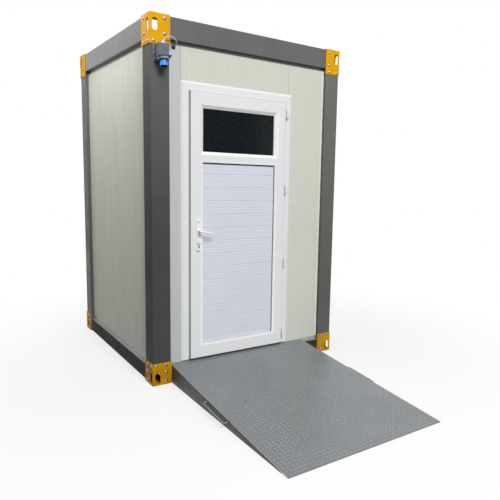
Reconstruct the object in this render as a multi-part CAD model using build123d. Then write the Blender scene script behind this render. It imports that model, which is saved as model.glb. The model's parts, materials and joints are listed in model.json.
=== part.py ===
# Accessible toilet cabin: a bolted steel frame with sandwich walls, one plastic door and a steel ramp.
# Millimetres. Worked out from the front left corner of the cabin at ground level: X runs right along
# the front, Y runs back, Z runs up. Everything is moved to the part's own origin when it is written.
import os
from math import atan2, cos, degrees, radians, sin, tan

from build123d import *

# Cabin
cabin_width = 1640
cabin_depth = 1836
cabin_height = 2600
wall_setback = 36
wall_thick = 50
cut_overrun = 20

# Small round parts have this many sides, which keeps their meshes light
small_round_sides = 16

# Corner brackets, folded from plate
bracket_plate = 5
bracket_front = 145
bracket_side = 160
bracket_upper_tall = 200
bracket_lower_tall = 165
bracket_fold_radius = 8
slot_width = 40
slot_tall = 82
slot_from_edge = 38
slot_upper_drop = 73
slot_lower_rise = 51

# Cold-formed posts, beams and rails
sheet_thick = 3
sheet_fold_radius = 6
post_front = 135
post_side = 150
post_lip = 30
member_end = 75
beam_tall = 152
beam_top_flange = 55
beam_lip_drop = 21
rail_tall = 113
rail_flange = 115
joist_count = 3
joist_flange = 50

# Sill flashing at the foot of the walls
flashing_thick = 1.5
flashing_ledge = 27
flashing_upstand = 30

# Roof panel with trapezoid ribs, and the floor
roof_slab = 60
roof_edge_gap = 2
roof_rib_tall = 25
roof_rib_foot = 70
roof_rib_crown = 40
roof_rib_count = 5
floor_board = 21

# Wall panel joints on the front, measured from the door frame's outer edges
panel_joint_behind = 2
panel_joint_inset = 31
panel_joint_wide = 4
panel_joint_deep = 4

# Door frame
frame_from_post = 92
frame_leaf_margin = 67
frame_leaf_head = 72
frame_leaf_gap = 8
frame_proud = 11
frame_lap = 17
frame_bevel_wide = 15
frame_bevel_deep = 9
frame_stop_wide = 28
frame_stop_thick = 12
frame_round = 3
head_wall_tall = 251
threshold_rise = 28
threshold_lip = 14
threshold_nose = 6

# Door leaf
leaf_width = 815
leaf_threshold_gap = 7
leaf_face = 8
leaf_depth = 60
leaf_flange = 12
leaf_flange_lap = 12
leaf_round = 3
stile_face = 78
top_rail_face = 83
bottom_rail_face = 87
top_light_tall = 357
transom_face = 37
glass_slope_wide = 24
glass_slope_deep = 28
panel_slope_wide = 17
panel_slope_deep = 4
panel_recess = 14
glazing_pocket_inset = 6
glazing_unit_thick = 20
glazing_gap = 1
inner_bead_wide = 18
plank_pitch = 100
plank_groove_wide = 5
plank_groove_deep = 2.5

# Hinges
hinge_gap = 8
hinge_axis_y = 0
hinge_radius = 10
hinge_above_foot = 52
hinge_below_head = 115
hinge_count = 4
hinge_cap_bevel = 2
hinge_fixed_tall = 45
hinge_moving_tall = 54
hinge_joint_gap = 1
hinge_pin_radius = 4
hinge_pin_clearance = 0.4
hinge_pin_engage = 30
hinge_wing_thick = 5
hinge_wing_wide = 30

# Lever handles and lock
handle_backset = 59
spindle_above_foot = 971
handle_plate_wide = 36
handle_plate_tall = 236
handle_plate_below = 148
handle_plate_thick = 8
handle_plate_round = 10
handle_edge_bevel = 2
hub_radius = 10
hub_clearance = 0.5
lever_standoff = 46
lever_reach = 110
lever_thick = 13
lever_root_tall = 22
lever_tip_tall = 16
lever_droop = 12
lever_bevel = 3
spindle_side = 8
spindle_bore_radius = 12
cylinder_below_spindle = 97.5
cylinder_radius = 8.5
cylinder_leg_wide = 10
cylinder_leg_drop = 26.5
cylinder_proud = 4
lock_pocket_gap = 1.5

# Ramp
ramp_bracket_gap = 2
ramp_right_margin = 168
ramp_run = 1530
ramp_seat_rise = 21
ramp_wall_gap = 3
ramp_plate_thick = 5
ramp_skirt_thick = 4
ramp_skirt_nose = 65
ramp_cabin_gap = 2
ramp_rib_count = 2
hook_leg = 27
hook_thick = 4
grab_from_top = 18
grab_near = 585
grab_length = 290
grab_standoff = 30
grab_bar_radius = 6
grab_bend_radius = 16
grab_bar_sides = 6

# Power inlet on the front left post
inlet_left = 38
inlet_width = 74
inlet_drop = 202
inlet_depth = 70
inlet_edge_bevel = 4
inlet_tilt = 15
inlet_flange_wide = 88
inlet_flange_long = 96
inlet_flange_thick = 10
inlet_flange_round = 6
inlet_flange_back = 3
inlet_flange_drop = 89
inlet_ring_radius = 42
inlet_ring_tall = 12
inlet_round_sides = 24
inlet_collar_radius = 27
inlet_collar_root_radius = 24
inlet_collar_tall = 44
inlet_collar_wall = 3.5
inlet_socket_deep = 34
inlet_gland_radius = 9
inlet_gland_long = 20
inlet_gland_lean = 25
inlet_gland_out = 39
inlet_gland_in = 38

# Lead between the inlet and the wall, as steps from the end of the inlet's gland
cable_radius = 5.3
cable_sides = 6
cable_seat_gap = 0.3
cable_route = [
    (0, 0, 0), (9, 0, 19), (34, 0, 36), (66, 3, 36),
    (93, 12, 24), (105, 29, 8), (101, 51, -7), (97, 68, -12),
]
bend_share = 0.45
wall_gland_radius = 14
wall_gland_bore = 9
wall_gland_deep = 10
gland_sides = 6

# Planes and levels that several pieces share
wall_inside = wall_setback + wall_thick
post_front_edge = bracket_plate + post_front
post_side_edge = bracket_plate + post_side
beam_top = cabin_height - bracket_plate
beam_bottom = beam_top - beam_tall
rail_top = bracket_plate + rail_tall
rail_inside = bracket_plate + rail_flange
floor_top = rail_top + floor_board
frame_left = post_front_edge + frame_from_post
leaf_left = frame_left + frame_leaf_margin
leaf_right = leaf_left + leaf_width
frame_right = leaf_right + frame_leaf_margin
frame_top = beam_bottom - head_wall_tall
frame_face = wall_setback - frame_proud
frame_bevel_back = frame_face + frame_bevel_deep
frame_jamb_face = frame_leaf_margin - frame_leaf_gap
frame_head_face = frame_leaf_head - frame_leaf_gap
head_to_jamb_share = frame_head_face / frame_jamb_face
doorway_left = frame_left + frame_lap
doorway_right = frame_right - frame_lap
doorway_top = frame_top - frame_lap * head_to_jamb_share
jamb_inside = frame_left + frame_jamb_face
head_inside = frame_top - frame_head_face
stop_front = wall_inside - frame_stop_thick
stop_left = jamb_inside + frame_stop_wide
stop_right = frame_right - frame_jamb_face - frame_stop_wide
stop_low = head_inside - frame_stop_wide * head_to_jamb_share
threshold_top = rail_top + threshold_rise
leaf_bottom = threshold_top + leaf_threshold_gap
leaf_top = frame_top - frame_leaf_head
leaf_back = leaf_face + leaf_depth
transom_top = leaf_top - top_rail_face - top_light_tall
transom_low = transom_top - transom_face
glazing_slopes = {
    "glass": (glass_slope_wide, glass_slope_deep),
    "panel": (panel_slope_wide, panel_slope_deep),
}
glazing_fronts = {
    "glass": leaf_face + glass_slope_deep,
    "panel": leaf_face + panel_slope_deep + panel_recess,
}
hinge_x = leaf_right + hinge_gap
hinge_low = leaf_bottom + hinge_above_foot
hinge_pitch = (leaf_top - hinge_below_head - hinge_low) / (hinge_count - 1)
handle_x = leaf_left + handle_backset
spindle_z = leaf_bottom + spindle_above_foot
plate_front = leaf_face - handle_plate_thick
leaf_middle = leaf_face + leaf_depth / 2
ramp_left = bracket_front + ramp_bracket_gap
ramp_right = cabin_width - post_front_edge - ramp_right_margin
ramp_back = wall_setback - ramp_wall_gap
ramp_top = rail_top + ramp_seat_rise
ramp_length = ramp_run + ramp_back
ramp_rise = ramp_top - ramp_plate_thick
ramp_angle = atan2(ramp_rise, ramp_length)
inlet_top = cabin_height - inlet_drop
gland_lean = radians(inlet_gland_lean)
gland_foot = Vector(inlet_left + inlet_gland_in, bracket_plate - inlet_gland_out, inlet_top)
gland_direction = Vector(sin(gland_lean), 0, cos(gland_lean))
cable_start = gland_foot + gland_direction * (inlet_gland_long + cable_seat_gap)
cable_end = cable_start + Vector(*cable_route[-1])

middle_x = Plane(origin=(cabin_width / 2, 0, 0), z_dir=(1, 0, 0))
middle_y = Plane(origin=(0, cabin_depth / 2, 0), z_dir=(0, 1, 0))
door_middle = Plane(origin=((frame_left + frame_right) / 2, 0, 0), z_dir=(1, 0, 0))
leaf_middle_plane = Plane(origin=(0, leaf_middle, 0), z_dir=(0, 1, 0))
along_x, along_y, along_z = (1, 0, 0), (0, 1, 0), (0, 0, 1)


# Ways of making shapes

def block(low, high):
    size = [b - a for a, b in zip(low, high)]
    return Pos(*low) * Box(*size, align=(Align.MIN, Align.MIN, Align.MIN))


def folded_sheet(points, thick, radius):
    line = FilletPolyline(*points, radius=radius)
    return make_face(offset(line, thick, side=Side.LEFT))


def creased_sheet(points, thick):
    return make_face(offset(Polyline(*points), thick, kind=Kind.INTERSECTION, side=Side.LEFT))


def outline(points):
    return make_face(Polyline(*points, close=True))


def run_along_x(section, start, end):
    return Pos(start, 0, 0) * extrude(Plane.YZ * section, end - start, dir=along_x)


def run_along_y(section, start, end):
    return Pos(0, start, 0) * extrude(Plane.XZ * section, end - start, dir=along_y)


def run_along_z(section, start, end):
    return Pos(0, 0, start) * extrude(section, end - start, dir=along_z)


def small_round(radius):
    return RegularPolygon(radius, small_round_sides)


def rod_along_y(x, z, radius, start, end):
    return run_along_y(Pos(x, z) * small_round(radius), start, end)


def other_side(shape):
    return mirror(shape, about=middle_x)


def other_end(shape):
    return mirror(shape, about=middle_y)


def around_corners(name, front_left):
    return {
        f"{name}_front_left": front_left,
        f"{name}_front_right": other_side(front_left),
        f"{name}_back_left": other_end(front_left),
        f"{name}_back_right": other_end(other_side(front_left)),
    }


# Steel frame

def corner_bracket(bottom, tall, slot_z, plate_bottom):
    fold = [(0, bracket_side), (0, 0), (bracket_front, 0)]
    angle = run_along_z(folded_sheet(fold, bracket_plate, bracket_fold_radius), bottom, bottom + tall)
    plate = block((0, 0, plate_bottom), (bracket_front, bracket_side, plate_bottom + bracket_plate))
    plate = fillet(plate.edges().filter_by(Axis.Z).sort_by(lambda e: e.center().X + e.center().Y)[0],
                   bracket_fold_radius)
    slot = Pos(slot_from_edge, slot_z) * Rot(0, 0, 90) * SlotOverall(slot_tall, slot_width)
    front_cut = run_along_y(slot, -cut_overrun, bracket_plate + cut_overrun)
    side_cut = run_along_x(slot, -cut_overrun, bracket_plate + cut_overrun)
    return angle + plate - front_cut - side_cut


def corner_brackets():
    upper_bottom = cabin_height - bracket_upper_tall
    upper = corner_bracket(upper_bottom, bracket_upper_tall, cabin_height - slot_upper_drop, beam_top)
    lower = corner_bracket(0, bracket_lower_tall, slot_lower_rise, 0)
    return around_corners("upper_corner", upper) | around_corners("lower_corner", lower)


def posts():
    near = bracket_plate
    lip = wall_inside - sheet_thick
    fold = [(wall_inside, post_side_edge), (near, post_side_edge), (near, near), (post_front_edge, near),
            (post_front_edge, wall_inside)]
    post = run_along_z(folded_sheet(fold, sheet_thick, sheet_fold_radius), rail_top, beam_bottom)
    post += block((post_front_edge - post_lip, lip, rail_top),
                  (post_front_edge - sheet_thick, wall_inside, beam_bottom))
    post += block((lip, post_side_edge - post_lip, rail_top),
                  (wall_inside, post_side_edge - sheet_thick, beam_bottom))
    return around_corners("post", post)


def roof_beams():
    near = bracket_plate
    lip = wall_setback - sheet_thick
    fold = [(near + beam_top_flange, beam_top), (near, beam_top), (near, beam_bottom), (lip, beam_bottom)]
    channel = folded_sheet(fold, sheet_thick, sheet_fold_radius)
    drip = outline([(lip, beam_bottom + sheet_thick), (lip, beam_bottom - beam_lip_drop),
                    (wall_setback, beam_bottom - beam_lip_drop), (wall_setback, beam_bottom + sheet_thick)])
    front = run_along_x(channel, member_end, cabin_width - member_end)
    front += run_along_x(drip, post_front_edge, cabin_width - post_front_edge)
    left = run_along_y(channel, member_end, cabin_depth - member_end)
    left += run_along_y(drip, post_side_edge, cabin_depth - post_side_edge)
    return {
        "roof_beam_front": front, "roof_beam_back": other_end(front),
        "roof_beam_left": left, "roof_beam_right": other_side(left),
    }


def floor_rails():
    near = bracket_plate
    fold = [(rail_inside, rail_top), (near, rail_top), (near, near), (rail_inside, near)]
    channel = folded_sheet(fold, sheet_thick, sheet_fold_radius)
    front = run_along_x(channel, member_end, cabin_width - member_end)
    left = run_along_y(channel, rail_inside, cabin_depth - rail_inside)
    return {
        "floor_rail_front": front, "floor_rail_back": other_end(front),
        "floor_rail_left": left, "floor_rail_right": other_side(left),
    }


def floor_joists():
    fold = [(joist_flange, rail_top), (0, rail_top), (0, bracket_plate), (joist_flange, bracket_plate)]
    channel = creased_sheet(fold, sheet_thick)
    joist = run_along_x(channel, rail_inside, cabin_width - rail_inside)
    pitch = (cabin_depth - 2 * rail_inside) / (joist_count + 1)
    first = rail_inside + pitch - joist_flange / 2
    return Compound(children=[Pos(0, first + i * pitch, 0) * joist for i in range(joist_count)])


def sill_flashings():
    fold = [(wall_setback - flashing_ledge, rail_top), (wall_setback, rail_top),
            (wall_setback, rail_top + flashing_upstand)]
    strip = creased_sheet(fold, flashing_thick)
    left = run_along_y(strip, post_side_edge, cabin_depth - post_side_edge)
    front = run_along_x(strip, ramp_right, cabin_width - post_front_edge)
    back = other_end(run_along_x(strip, post_front_edge, cabin_width - post_front_edge))
    return Compound(children=[left, other_side(left), back, front])


# Walls, roof and floor

def walls():
    left = block((wall_setback, post_side_edge, rail_top),
                 (wall_inside, cabin_depth - post_side_edge, beam_bottom))
    back = block((post_front_edge, cabin_depth - wall_inside, rail_top),
                 (cabin_width - post_front_edge, cabin_depth - wall_setback, beam_bottom))
    front_left = block((post_front_edge, wall_setback, rail_top), (doorway_left, wall_inside, beam_bottom))
    front_right = block((doorway_right, wall_setback, rail_top),
                        (cabin_width - post_front_edge, wall_inside, beam_bottom))
    front_head = block((doorway_left, wall_setback, doorway_top), (doorway_right, wall_inside, beam_bottom))
    front_left -= panel_joint(frame_left + panel_joint_behind)
    front_head -= panel_joint(frame_right - panel_joint_inset)
    return {
        "left_wall": left, "right_wall": other_side(left), "back_wall": back,
        "front_wall_left": front_left, "front_wall_right": front_right, "front_wall_head": front_head,
    }


def panel_joint(x):
    half = panel_joint_wide / 2
    bottom = wall_setback + panel_joint_deep
    groove = outline([(x - half, wall_setback), (x + half, wall_setback), (x, bottom)])
    return run_along_z(groove, rail_top - cut_overrun, beam_bottom + cut_overrun)


def roof_panel():
    edge = wall_setback + roof_edge_gap
    slab_top = beam_bottom + roof_slab
    slab = block((edge, edge, beam_bottom), (cabin_width - edge, cabin_depth - edge, slab_top))
    pitch = (cabin_width - 2 * bracket_side) / (roof_rib_count - 1)
    foot, crown = roof_rib_foot / 2, roof_rib_crown / 2
    section = outline([(-foot, slab_top), (foot, slab_top), (crown, slab_top + roof_rib_tall),
                       (-crown, slab_top + roof_rib_tall)])
    rib = run_along_y(section, bracket_side, cabin_depth - bracket_side)
    for i in range(roof_rib_count):
        slab += Pos(bracket_side + i * pitch, 0, 0) * rib
    notch = block((0, 0, beam_bottom - cut_overrun), (bracket_front, bracket_side, beam_top))
    for corner in around_corners("notch", notch).values():
        slab -= corner
    return slab


def floor_deck():
    return block((wall_inside, wall_inside, rail_top),
                 (cabin_width - wall_inside, cabin_depth - wall_inside, floor_top))


# Door frame

def rounded_outline(points, corners, radius):
    section = outline(points)
    near = [section.vertices().sort_by_distance(corner)[0] for corner in corners]
    return fillet(near, radius)


def mitre_plane():
    across = (frame_head_face, 0, frame_jamb_face)
    return Plane(origin=(frame_left, 0, frame_top), x_dir=along_y, z_dir=across)


def frame_jamb():
    bevel_x = frame_left + frame_bevel_wide
    section = rounded_outline([
        (frame_left, frame_bevel_back), (bevel_x, frame_face), (jamb_inside, frame_face),
        (jamb_inside, stop_front), (stop_left, stop_front), (stop_left, wall_inside),
        (doorway_left, wall_inside), (doorway_left, wall_setback), (frame_left, wall_setback),
    ], [(bevel_x, frame_face), (jamb_inside, frame_face)], frame_round)
    return split(run_along_z(section, threshold_top, frame_top), bisect_by=mitre_plane(), keep=Keep.BOTTOM)


def frame_head():
    bevel_z = frame_top - frame_bevel_wide * head_to_jamb_share
    section = rounded_outline([
        (frame_face, head_inside), (stop_front, head_inside), (stop_front, stop_low),
        (wall_inside, stop_low), (wall_inside, doorway_top), (wall_setback, doorway_top),
        (wall_setback, frame_top), (frame_bevel_back, frame_top), (frame_face, bevel_z),
    ], [(frame_face, bevel_z), (frame_face, head_inside)], frame_round)
    half = run_along_x(section, frame_left, (frame_left + frame_right) / 2)
    half = split(half, bisect_by=mitre_plane(), keep=Keep.TOP)
    return half + mirror(half, about=door_middle)


def door_threshold():
    section = outline([
        (wall_setback, rail_top), (wall_inside, rail_top), (wall_inside, threshold_top),
        (wall_setback + threshold_nose, threshold_top), (wall_setback, threshold_top - threshold_nose),
    ])
    lip_top = threshold_top + threshold_lip
    lip = block((stop_left, stop_front, threshold_top), (stop_right, wall_inside, lip_top))
    return run_along_x(section, doorway_left, doorway_right) + lip


# Door leaf

def glazing_openings():
    left, right = leaf_left + stile_face, leaf_right - stile_face
    return {
        "glass": (left, right, transom_top, leaf_top - top_rail_face),
        "panel": (left, right, leaf_bottom + bottom_rail_face, transom_low),
    }


def inset_block(opening, inset, front, back):
    left, right, low, high = opening
    return block((left + inset, front, low + inset), (right - inset, back, high - inset))


def inset_face(opening, inset, y):
    left, right, low, high = opening
    pane = Rectangle(right - left - 2 * inset, high - low - 2 * inset)
    face = Pos((left + right) / 2, (low + high) / 2) * pane
    return Pos(0, y, 0) * (Plane.XZ * face)


def glazing_cut(name, opening):
    wide, deep = glazing_slopes[name]
    front = glazing_fronts[name]
    splay = loft([inset_face(opening, 0, leaf_face), inset_face(opening, wide, leaf_face + deep)], ruled=True)
    recess = inset_block(opening, wide, leaf_face, front)
    pocket = inset_block(opening, glazing_pocket_inset, front, leaf_back)
    return splay + recess + pocket


def door_sash():
    flange = block((leaf_left, leaf_face, leaf_bottom), (leaf_right, leaf_face + leaf_flange, leaf_top))
    flange = fillet(flange.faces().sort_by(Axis.Y)[0].edges(), leaf_round)
    body = block((leaf_left + leaf_flange_lap, leaf_face + leaf_flange, leaf_bottom),
                 (leaf_right - leaf_flange_lap, leaf_back, leaf_top - leaf_flange_lap))
    sash = flange + body
    for name, opening in glazing_openings().items():
        sash -= glazing_cut(name, opening)
    sash -= rod_along_y(handle_x, spindle_z, spindle_bore_radius, 0, leaf_back)
    return sash - lock_pocket()


def glazing_unit(name):
    front = glazing_fronts[name]
    inset = glazing_pocket_inset + glazing_gap
    return inset_block(glazing_openings()[name], inset, front, front + glazing_unit_thick)


def door_panel():
    left, right, low, high = glazing_openings()["panel"]
    front = glazing_fronts["panel"]
    panel = glazing_unit("panel")
    half = plank_groove_wide / 2
    section = outline([(front, -half), (front + plank_groove_deep, 0), (front, half)])
    groove = run_along_x(section, left, right)
    for i in range(1, int((high - low) / plank_pitch) + 1):
        panel -= Pos(0, 0, high - i * plank_pitch) * groove
    return panel


def inner_beads():
    rings = []
    for name, opening in glazing_openings().items():
        front = glazing_fronts[name] + glazing_unit_thick
        outer = inset_block(opening, glazing_pocket_inset, front, leaf_back)
        hole = inset_block(opening, glazing_pocket_inset + inner_bead_wide, front - cut_overrun,
                           leaf_back + cut_overrun)
        rings.append(outer - hole)
    return Compound(children=rings)


# Hinges

def repeat_hinge(hinge):
    return Compound(children=[Pos(0, 0, hinge_low + i * hinge_pitch) * hinge for i in range(hinge_count)])


def fixed_hinge():
    barrel = Pos(hinge_x, hinge_axis_y) * small_round(hinge_radius)
    web = Pos(hinge_x + hinge_radius - hinge_wing_thick, hinge_axis_y) * Rectangle(
        hinge_wing_thick, frame_face - hinge_axis_y, align=(Align.MIN, Align.MIN))
    wing = Pos(hinge_x, frame_face - hinge_wing_thick) * Rectangle(
        hinge_wing_wide, hinge_wing_thick, align=(Align.MIN, Align.MIN))
    knuckle = run_along_z(barrel + web + wing, 0, hinge_fixed_tall)
    pin_top = hinge_fixed_tall + hinge_joint_gap + hinge_pin_engage
    return knuckle + run_along_z(Pos(hinge_x, hinge_axis_y) * small_round(hinge_pin_radius), 0, pin_top)


def moving_hinge():
    bottom = hinge_fixed_tall + hinge_joint_gap
    top = bottom + hinge_moving_tall
    tube = Pos(hinge_x, hinge_axis_y) * small_round(hinge_radius)
    barrel = run_along_z(tube, bottom, top)
    barrel = chamfer(barrel.faces().sort_by(Axis.Z)[-1].edges(), hinge_cap_bevel)
    wing = Pos(hinge_x, leaf_face - hinge_wing_thick) * Rectangle(
        hinge_gap + hinge_wing_wide, hinge_wing_thick, align=(Align.MAX, Align.MIN))
    knuckle = barrel + run_along_z(wing, bottom, top - hinge_cap_bevel)
    bore = Pos(hinge_x, hinge_axis_y) * small_round(hinge_pin_radius + hinge_pin_clearance)
    bore_top = bottom + hinge_pin_engage + hinge_joint_gap
    return knuckle - run_along_z(bore, bottom - cut_overrun, bore_top)


# Handles and lock

def lock_barrel():
    centre_z = spindle_z - cylinder_below_spindle
    profile = Pos(handle_x, centre_z) * small_round(cylinder_radius)
    leg = Pos(handle_x, centre_z) * Rectangle(
        cylinder_leg_wide, cylinder_leg_drop, align=(Align.CENTER, Align.MAX))
    foot = Pos(handle_x, centre_z - cylinder_leg_drop) * small_round(cylinder_leg_wide / 2)
    return run_along_y(profile + leg + foot, plate_front - cylinder_proud,
                       leaf_back + handle_plate_thick + cylinder_proud)


def lock_pocket():
    centre_z = spindle_z - cylinder_below_spindle
    half = cylinder_radius + lock_pocket_gap
    low = centre_z - cylinder_leg_drop - cylinder_leg_wide / 2 - lock_pocket_gap
    return block((handle_x - half, leaf_face - cut_overrun, low),
                 (handle_x + half, leaf_back + cut_overrun, centre_z + half))


def outside_plate():
    middle = spindle_z - handle_plate_below + handle_plate_tall / 2
    face = RectangleRounded(handle_plate_wide, handle_plate_tall, handle_plate_round)
    plate = run_along_y(Pos(handle_x, middle) * face, plate_front, leaf_face)
    plate = chamfer(plate.faces().sort_by(Axis.Y)[0].edges(), handle_edge_bevel)
    bore = hub_radius + hub_clearance
    plate -= rod_along_y(handle_x, spindle_z, bore, plate_front - cut_overrun, leaf_back)
    return plate - lock_barrel()


def lever():
    root, tip = lever_root_tall / 2, lever_tip_tall / 2
    ends = small_round(root).edges() + (Pos(lever_reach - tip, 0) * small_round(tip)).edges()
    blade = Pos(handle_x, spindle_z) * Rot(0, 0, -lever_droop) * make_hull(ends)
    outer = plate_front - lever_standoff
    grip = run_along_y(blade, outer, outer + lever_thick)
    grip = chamfer(grip.faces().sort_by(Axis.Y)[0].edges(), lever_bevel)
    hub_end = leaf_face - hub_clearance
    return grip + rod_along_y(handle_x, spindle_z, hub_radius, outer + lever_bevel, hub_end)


def outside_lever():
    half = spindle_side / 2
    spindle = block((handle_x - half, plate_front, spindle_z - half),
                    (handle_x + half, leaf_middle, spindle_z + half))
    return lever() + spindle


def inside_lever():
    return mirror(outside_lever(), about=leaf_middle_plane)


# Ramp

def ramp_under(y):
    return (ramp_run + y) * tan(ramp_angle)


def ramp_plate():
    section = outline([(-ramp_run, 0), (ramp_back, ramp_rise), (ramp_back, ramp_top),
                       (-ramp_run, ramp_plate_thick)])
    return run_along_x(section, ramp_left, ramp_right)


def ramp_web(start):
    nose = ramp_skirt_nose - ramp_run
    section = outline([(nose, 0), (-ramp_cabin_gap, 0), (-ramp_cabin_gap, ramp_under(-ramp_cabin_gap)),
                       (nose, ramp_under(nose))])
    return run_along_x(section, start, start + ramp_skirt_thick)


def ramp_ribs():
    pitch = (ramp_right - ramp_left) / (ramp_rib_count + 1)
    return Compound(children=[ramp_web(ramp_left + (i + 1) * pitch) for i in range(ramp_rib_count)])


def ramp_hook():
    front = ramp_back - hook_leg
    web = ramp_back - hook_thick
    ledge = rail_top + hook_thick
    section = outline([(front, rail_top), (ramp_back, rail_top), (ramp_back, ramp_under(ramp_back)),
                       (web, ramp_under(web)), (web, ledge), (front, ledge)])
    return run_along_x(section, ramp_left + ramp_skirt_thick, ramp_right - ramp_skirt_thick)


def ramp_grab():
    drop = (ramp_plate_thick - grab_from_top) / cos(ramp_angle)
    near = (-grab_near, ramp_under(-grab_near) + drop)
    far_y = -grab_near - grab_length * cos(ramp_angle)
    far = (far_y, ramp_under(far_y) + drop)
    out = ramp_left - grab_standoff
    path = FilletPolyline((ramp_left, *near), (out, *near), (out, *far), (ramp_left, *far),
                          radius=grab_bend_radius)
    bar = RegularPolygon(grab_bar_radius, grab_bar_sides)
    return sweep(Plane(path @ 0, z_dir=path % 0) * bar, path=path)


def ramp_pieces():
    grab = ramp_grab()
    ramp_middle = Plane(origin=((ramp_left + ramp_right) / 2, 0, 0), z_dir=along_x)
    return {
        "ramp_plate": ramp_plate(),
        "ramp_skirt_left": ramp_web(ramp_left),
        "ramp_skirt_right": ramp_web(ramp_right - ramp_skirt_thick),
        "ramp_ribs": ramp_ribs(),
        "ramp_hook": ramp_hook(),
        "ramp_grab_left": grab,
        "ramp_grab_right": mirror(grab, about=ramp_middle),
    }


# Power inlet

def inlet_seat():
    tilt = radians(inlet_tilt)
    half = inlet_flange_long / 2
    middle = inlet_left + inlet_width / 2
    centre = (middle, -inlet_flange_back - half * cos(tilt), inlet_top - inlet_flange_drop)
    return Plane(origin=centre, x_dir=along_x, z_dir=(0, -sin(tilt), -cos(tilt)))


def inlet_housing():
    seat = inlet_seat()
    low = inlet_top - inlet_flange_drop - inlet_flange_long
    front = bracket_plate - inlet_depth
    box = block((inlet_left, front, low), (inlet_left + inlet_width, bracket_plate, inlet_top))
    box = chamfer(box.edges().filter_by(Axis.Z).group_by(Axis.Y)[0], inlet_edge_bevel)
    box = split(box, bisect_by=seat, keep=Keep.BOTTOM)
    return chamfer(box.faces().sort_by(Axis.Z)[-1].edges().sort_by(Axis.Y)[:-1], inlet_edge_bevel / 2)


def inlet_flange():
    face = RectangleRounded(inlet_flange_wide, inlet_flange_long, inlet_flange_round)
    plate = extrude(face, inlet_flange_thick)
    ring = RegularPolygon(inlet_ring_radius, inlet_round_sides)
    return inlet_seat() * (plate + extrude(ring, inlet_flange_thick + inlet_ring_tall))


def inlet_collar():
    base = Pos(0, 0, inlet_flange_thick + inlet_ring_tall)
    flare = degrees(atan2(inlet_collar_radius - inlet_collar_root_radius, inlet_collar_tall))
    root = RegularPolygon(inlet_collar_root_radius, inlet_round_sides)
    outside = extrude(root, inlet_collar_tall, taper=-flare)
    mouth = RegularPolygon(inlet_collar_radius - inlet_collar_wall, inlet_round_sides)
    socket = Pos(0, 0, inlet_collar_tall - inlet_socket_deep) * extrude(mouth, inlet_collar_tall)
    return inlet_seat() * base * (outside - socket)


def cable_glands():
    lean = Plane(origin=gland_foot, x_dir=along_y, z_dir=gland_direction)
    nut = RegularPolygon(inlet_gland_radius, gland_sides)
    top = extrude(lean * nut, inlet_gland_long) + extrude(lean * nut, -inlet_gland_radius)
    top = split(top, bisect_by=Plane(origin=gland_foot, z_dir=along_z), keep=Keep.TOP)
    at_wall = Pos(cable_end.X, cable_end.Z)
    ring = at_wall * (RegularPolygon(wall_gland_radius, gland_sides) - small_round(wall_gland_bore))
    return Compound(children=[top, run_along_y(ring, wall_setback - wall_gland_deep, wall_setback)])


def inlet_cable():
    points = [cable_start + Vector(*p) for p in cable_route]
    radii = []
    for before, here, after in zip(points, points[1:], points[2:]):
        turn = radians((here - before).get_angle(after - here))
        radii.append(bend_share * min((here - before).length, (after - here).length) / tan(turn / 2))
    print("bend radii of the lead:", [round(r) for r in radii])
    path = FilletPolyline(*points, radius=radii)
    jacket = RegularPolygon(cable_radius, cable_sides)
    return sweep(Plane(path @ 0, z_dir=path % 0) * jacket, path=path)


# All the pieces, by name

def all_pieces():
    jamb = frame_jamb()
    plate = outside_plate()
    pieces = corner_brackets() | posts() | roof_beams() | floor_rails() | walls() | ramp_pieces()
    pieces |= {
        "floor_joists": floor_joists(),
        "sill_flashings": sill_flashings(),
        "roof_panel": roof_panel(),
        "floor_deck": floor_deck(),
        "door_frame_lock_jamb": jamb,
        "door_frame_hinge_jamb": mirror(jamb, about=door_middle),
        "door_frame_head": frame_head(),
        "door_threshold": door_threshold(),
        "frame_hinges": repeat_hinge(fixed_hinge()),
        "inlet_housing": inlet_housing(),
        "inlet_flange": inlet_flange(),
        "inlet_collar": inlet_collar(),
        "cable_glands": cable_glands(),
        "inlet_cable": inlet_cable(),
        "door_sash": door_sash(),
        "door_glass": glazing_unit("glass"),
        "door_panel": door_panel(),
        "door_inner_beads": inner_beads(),
        "door_hinges": repeat_hinge(moving_hinge()),
        "outside_plate": plate,
        "inside_plate": mirror(plate, about=leaf_middle_plane),
        "lock_barrel": lock_barrel(),
        "outside_lever": outside_lever(),
        "inside_lever": inside_lever(),
    }
    return pieces


def main():
    os.makedirs("parts", exist_ok=True)
    to_origin = Pos(-cabin_width / 2, (ramp_run - cabin_depth) / 2, 0)
    for name, piece in all_pieces().items():
        export_step(to_origin * piece, f"parts/{name}.step")


main()
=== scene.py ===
import json
import random
from math import cos, pi, radians, sin, tau

import bmesh
import bpy
from mathutils import Matrix, Vector


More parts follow.
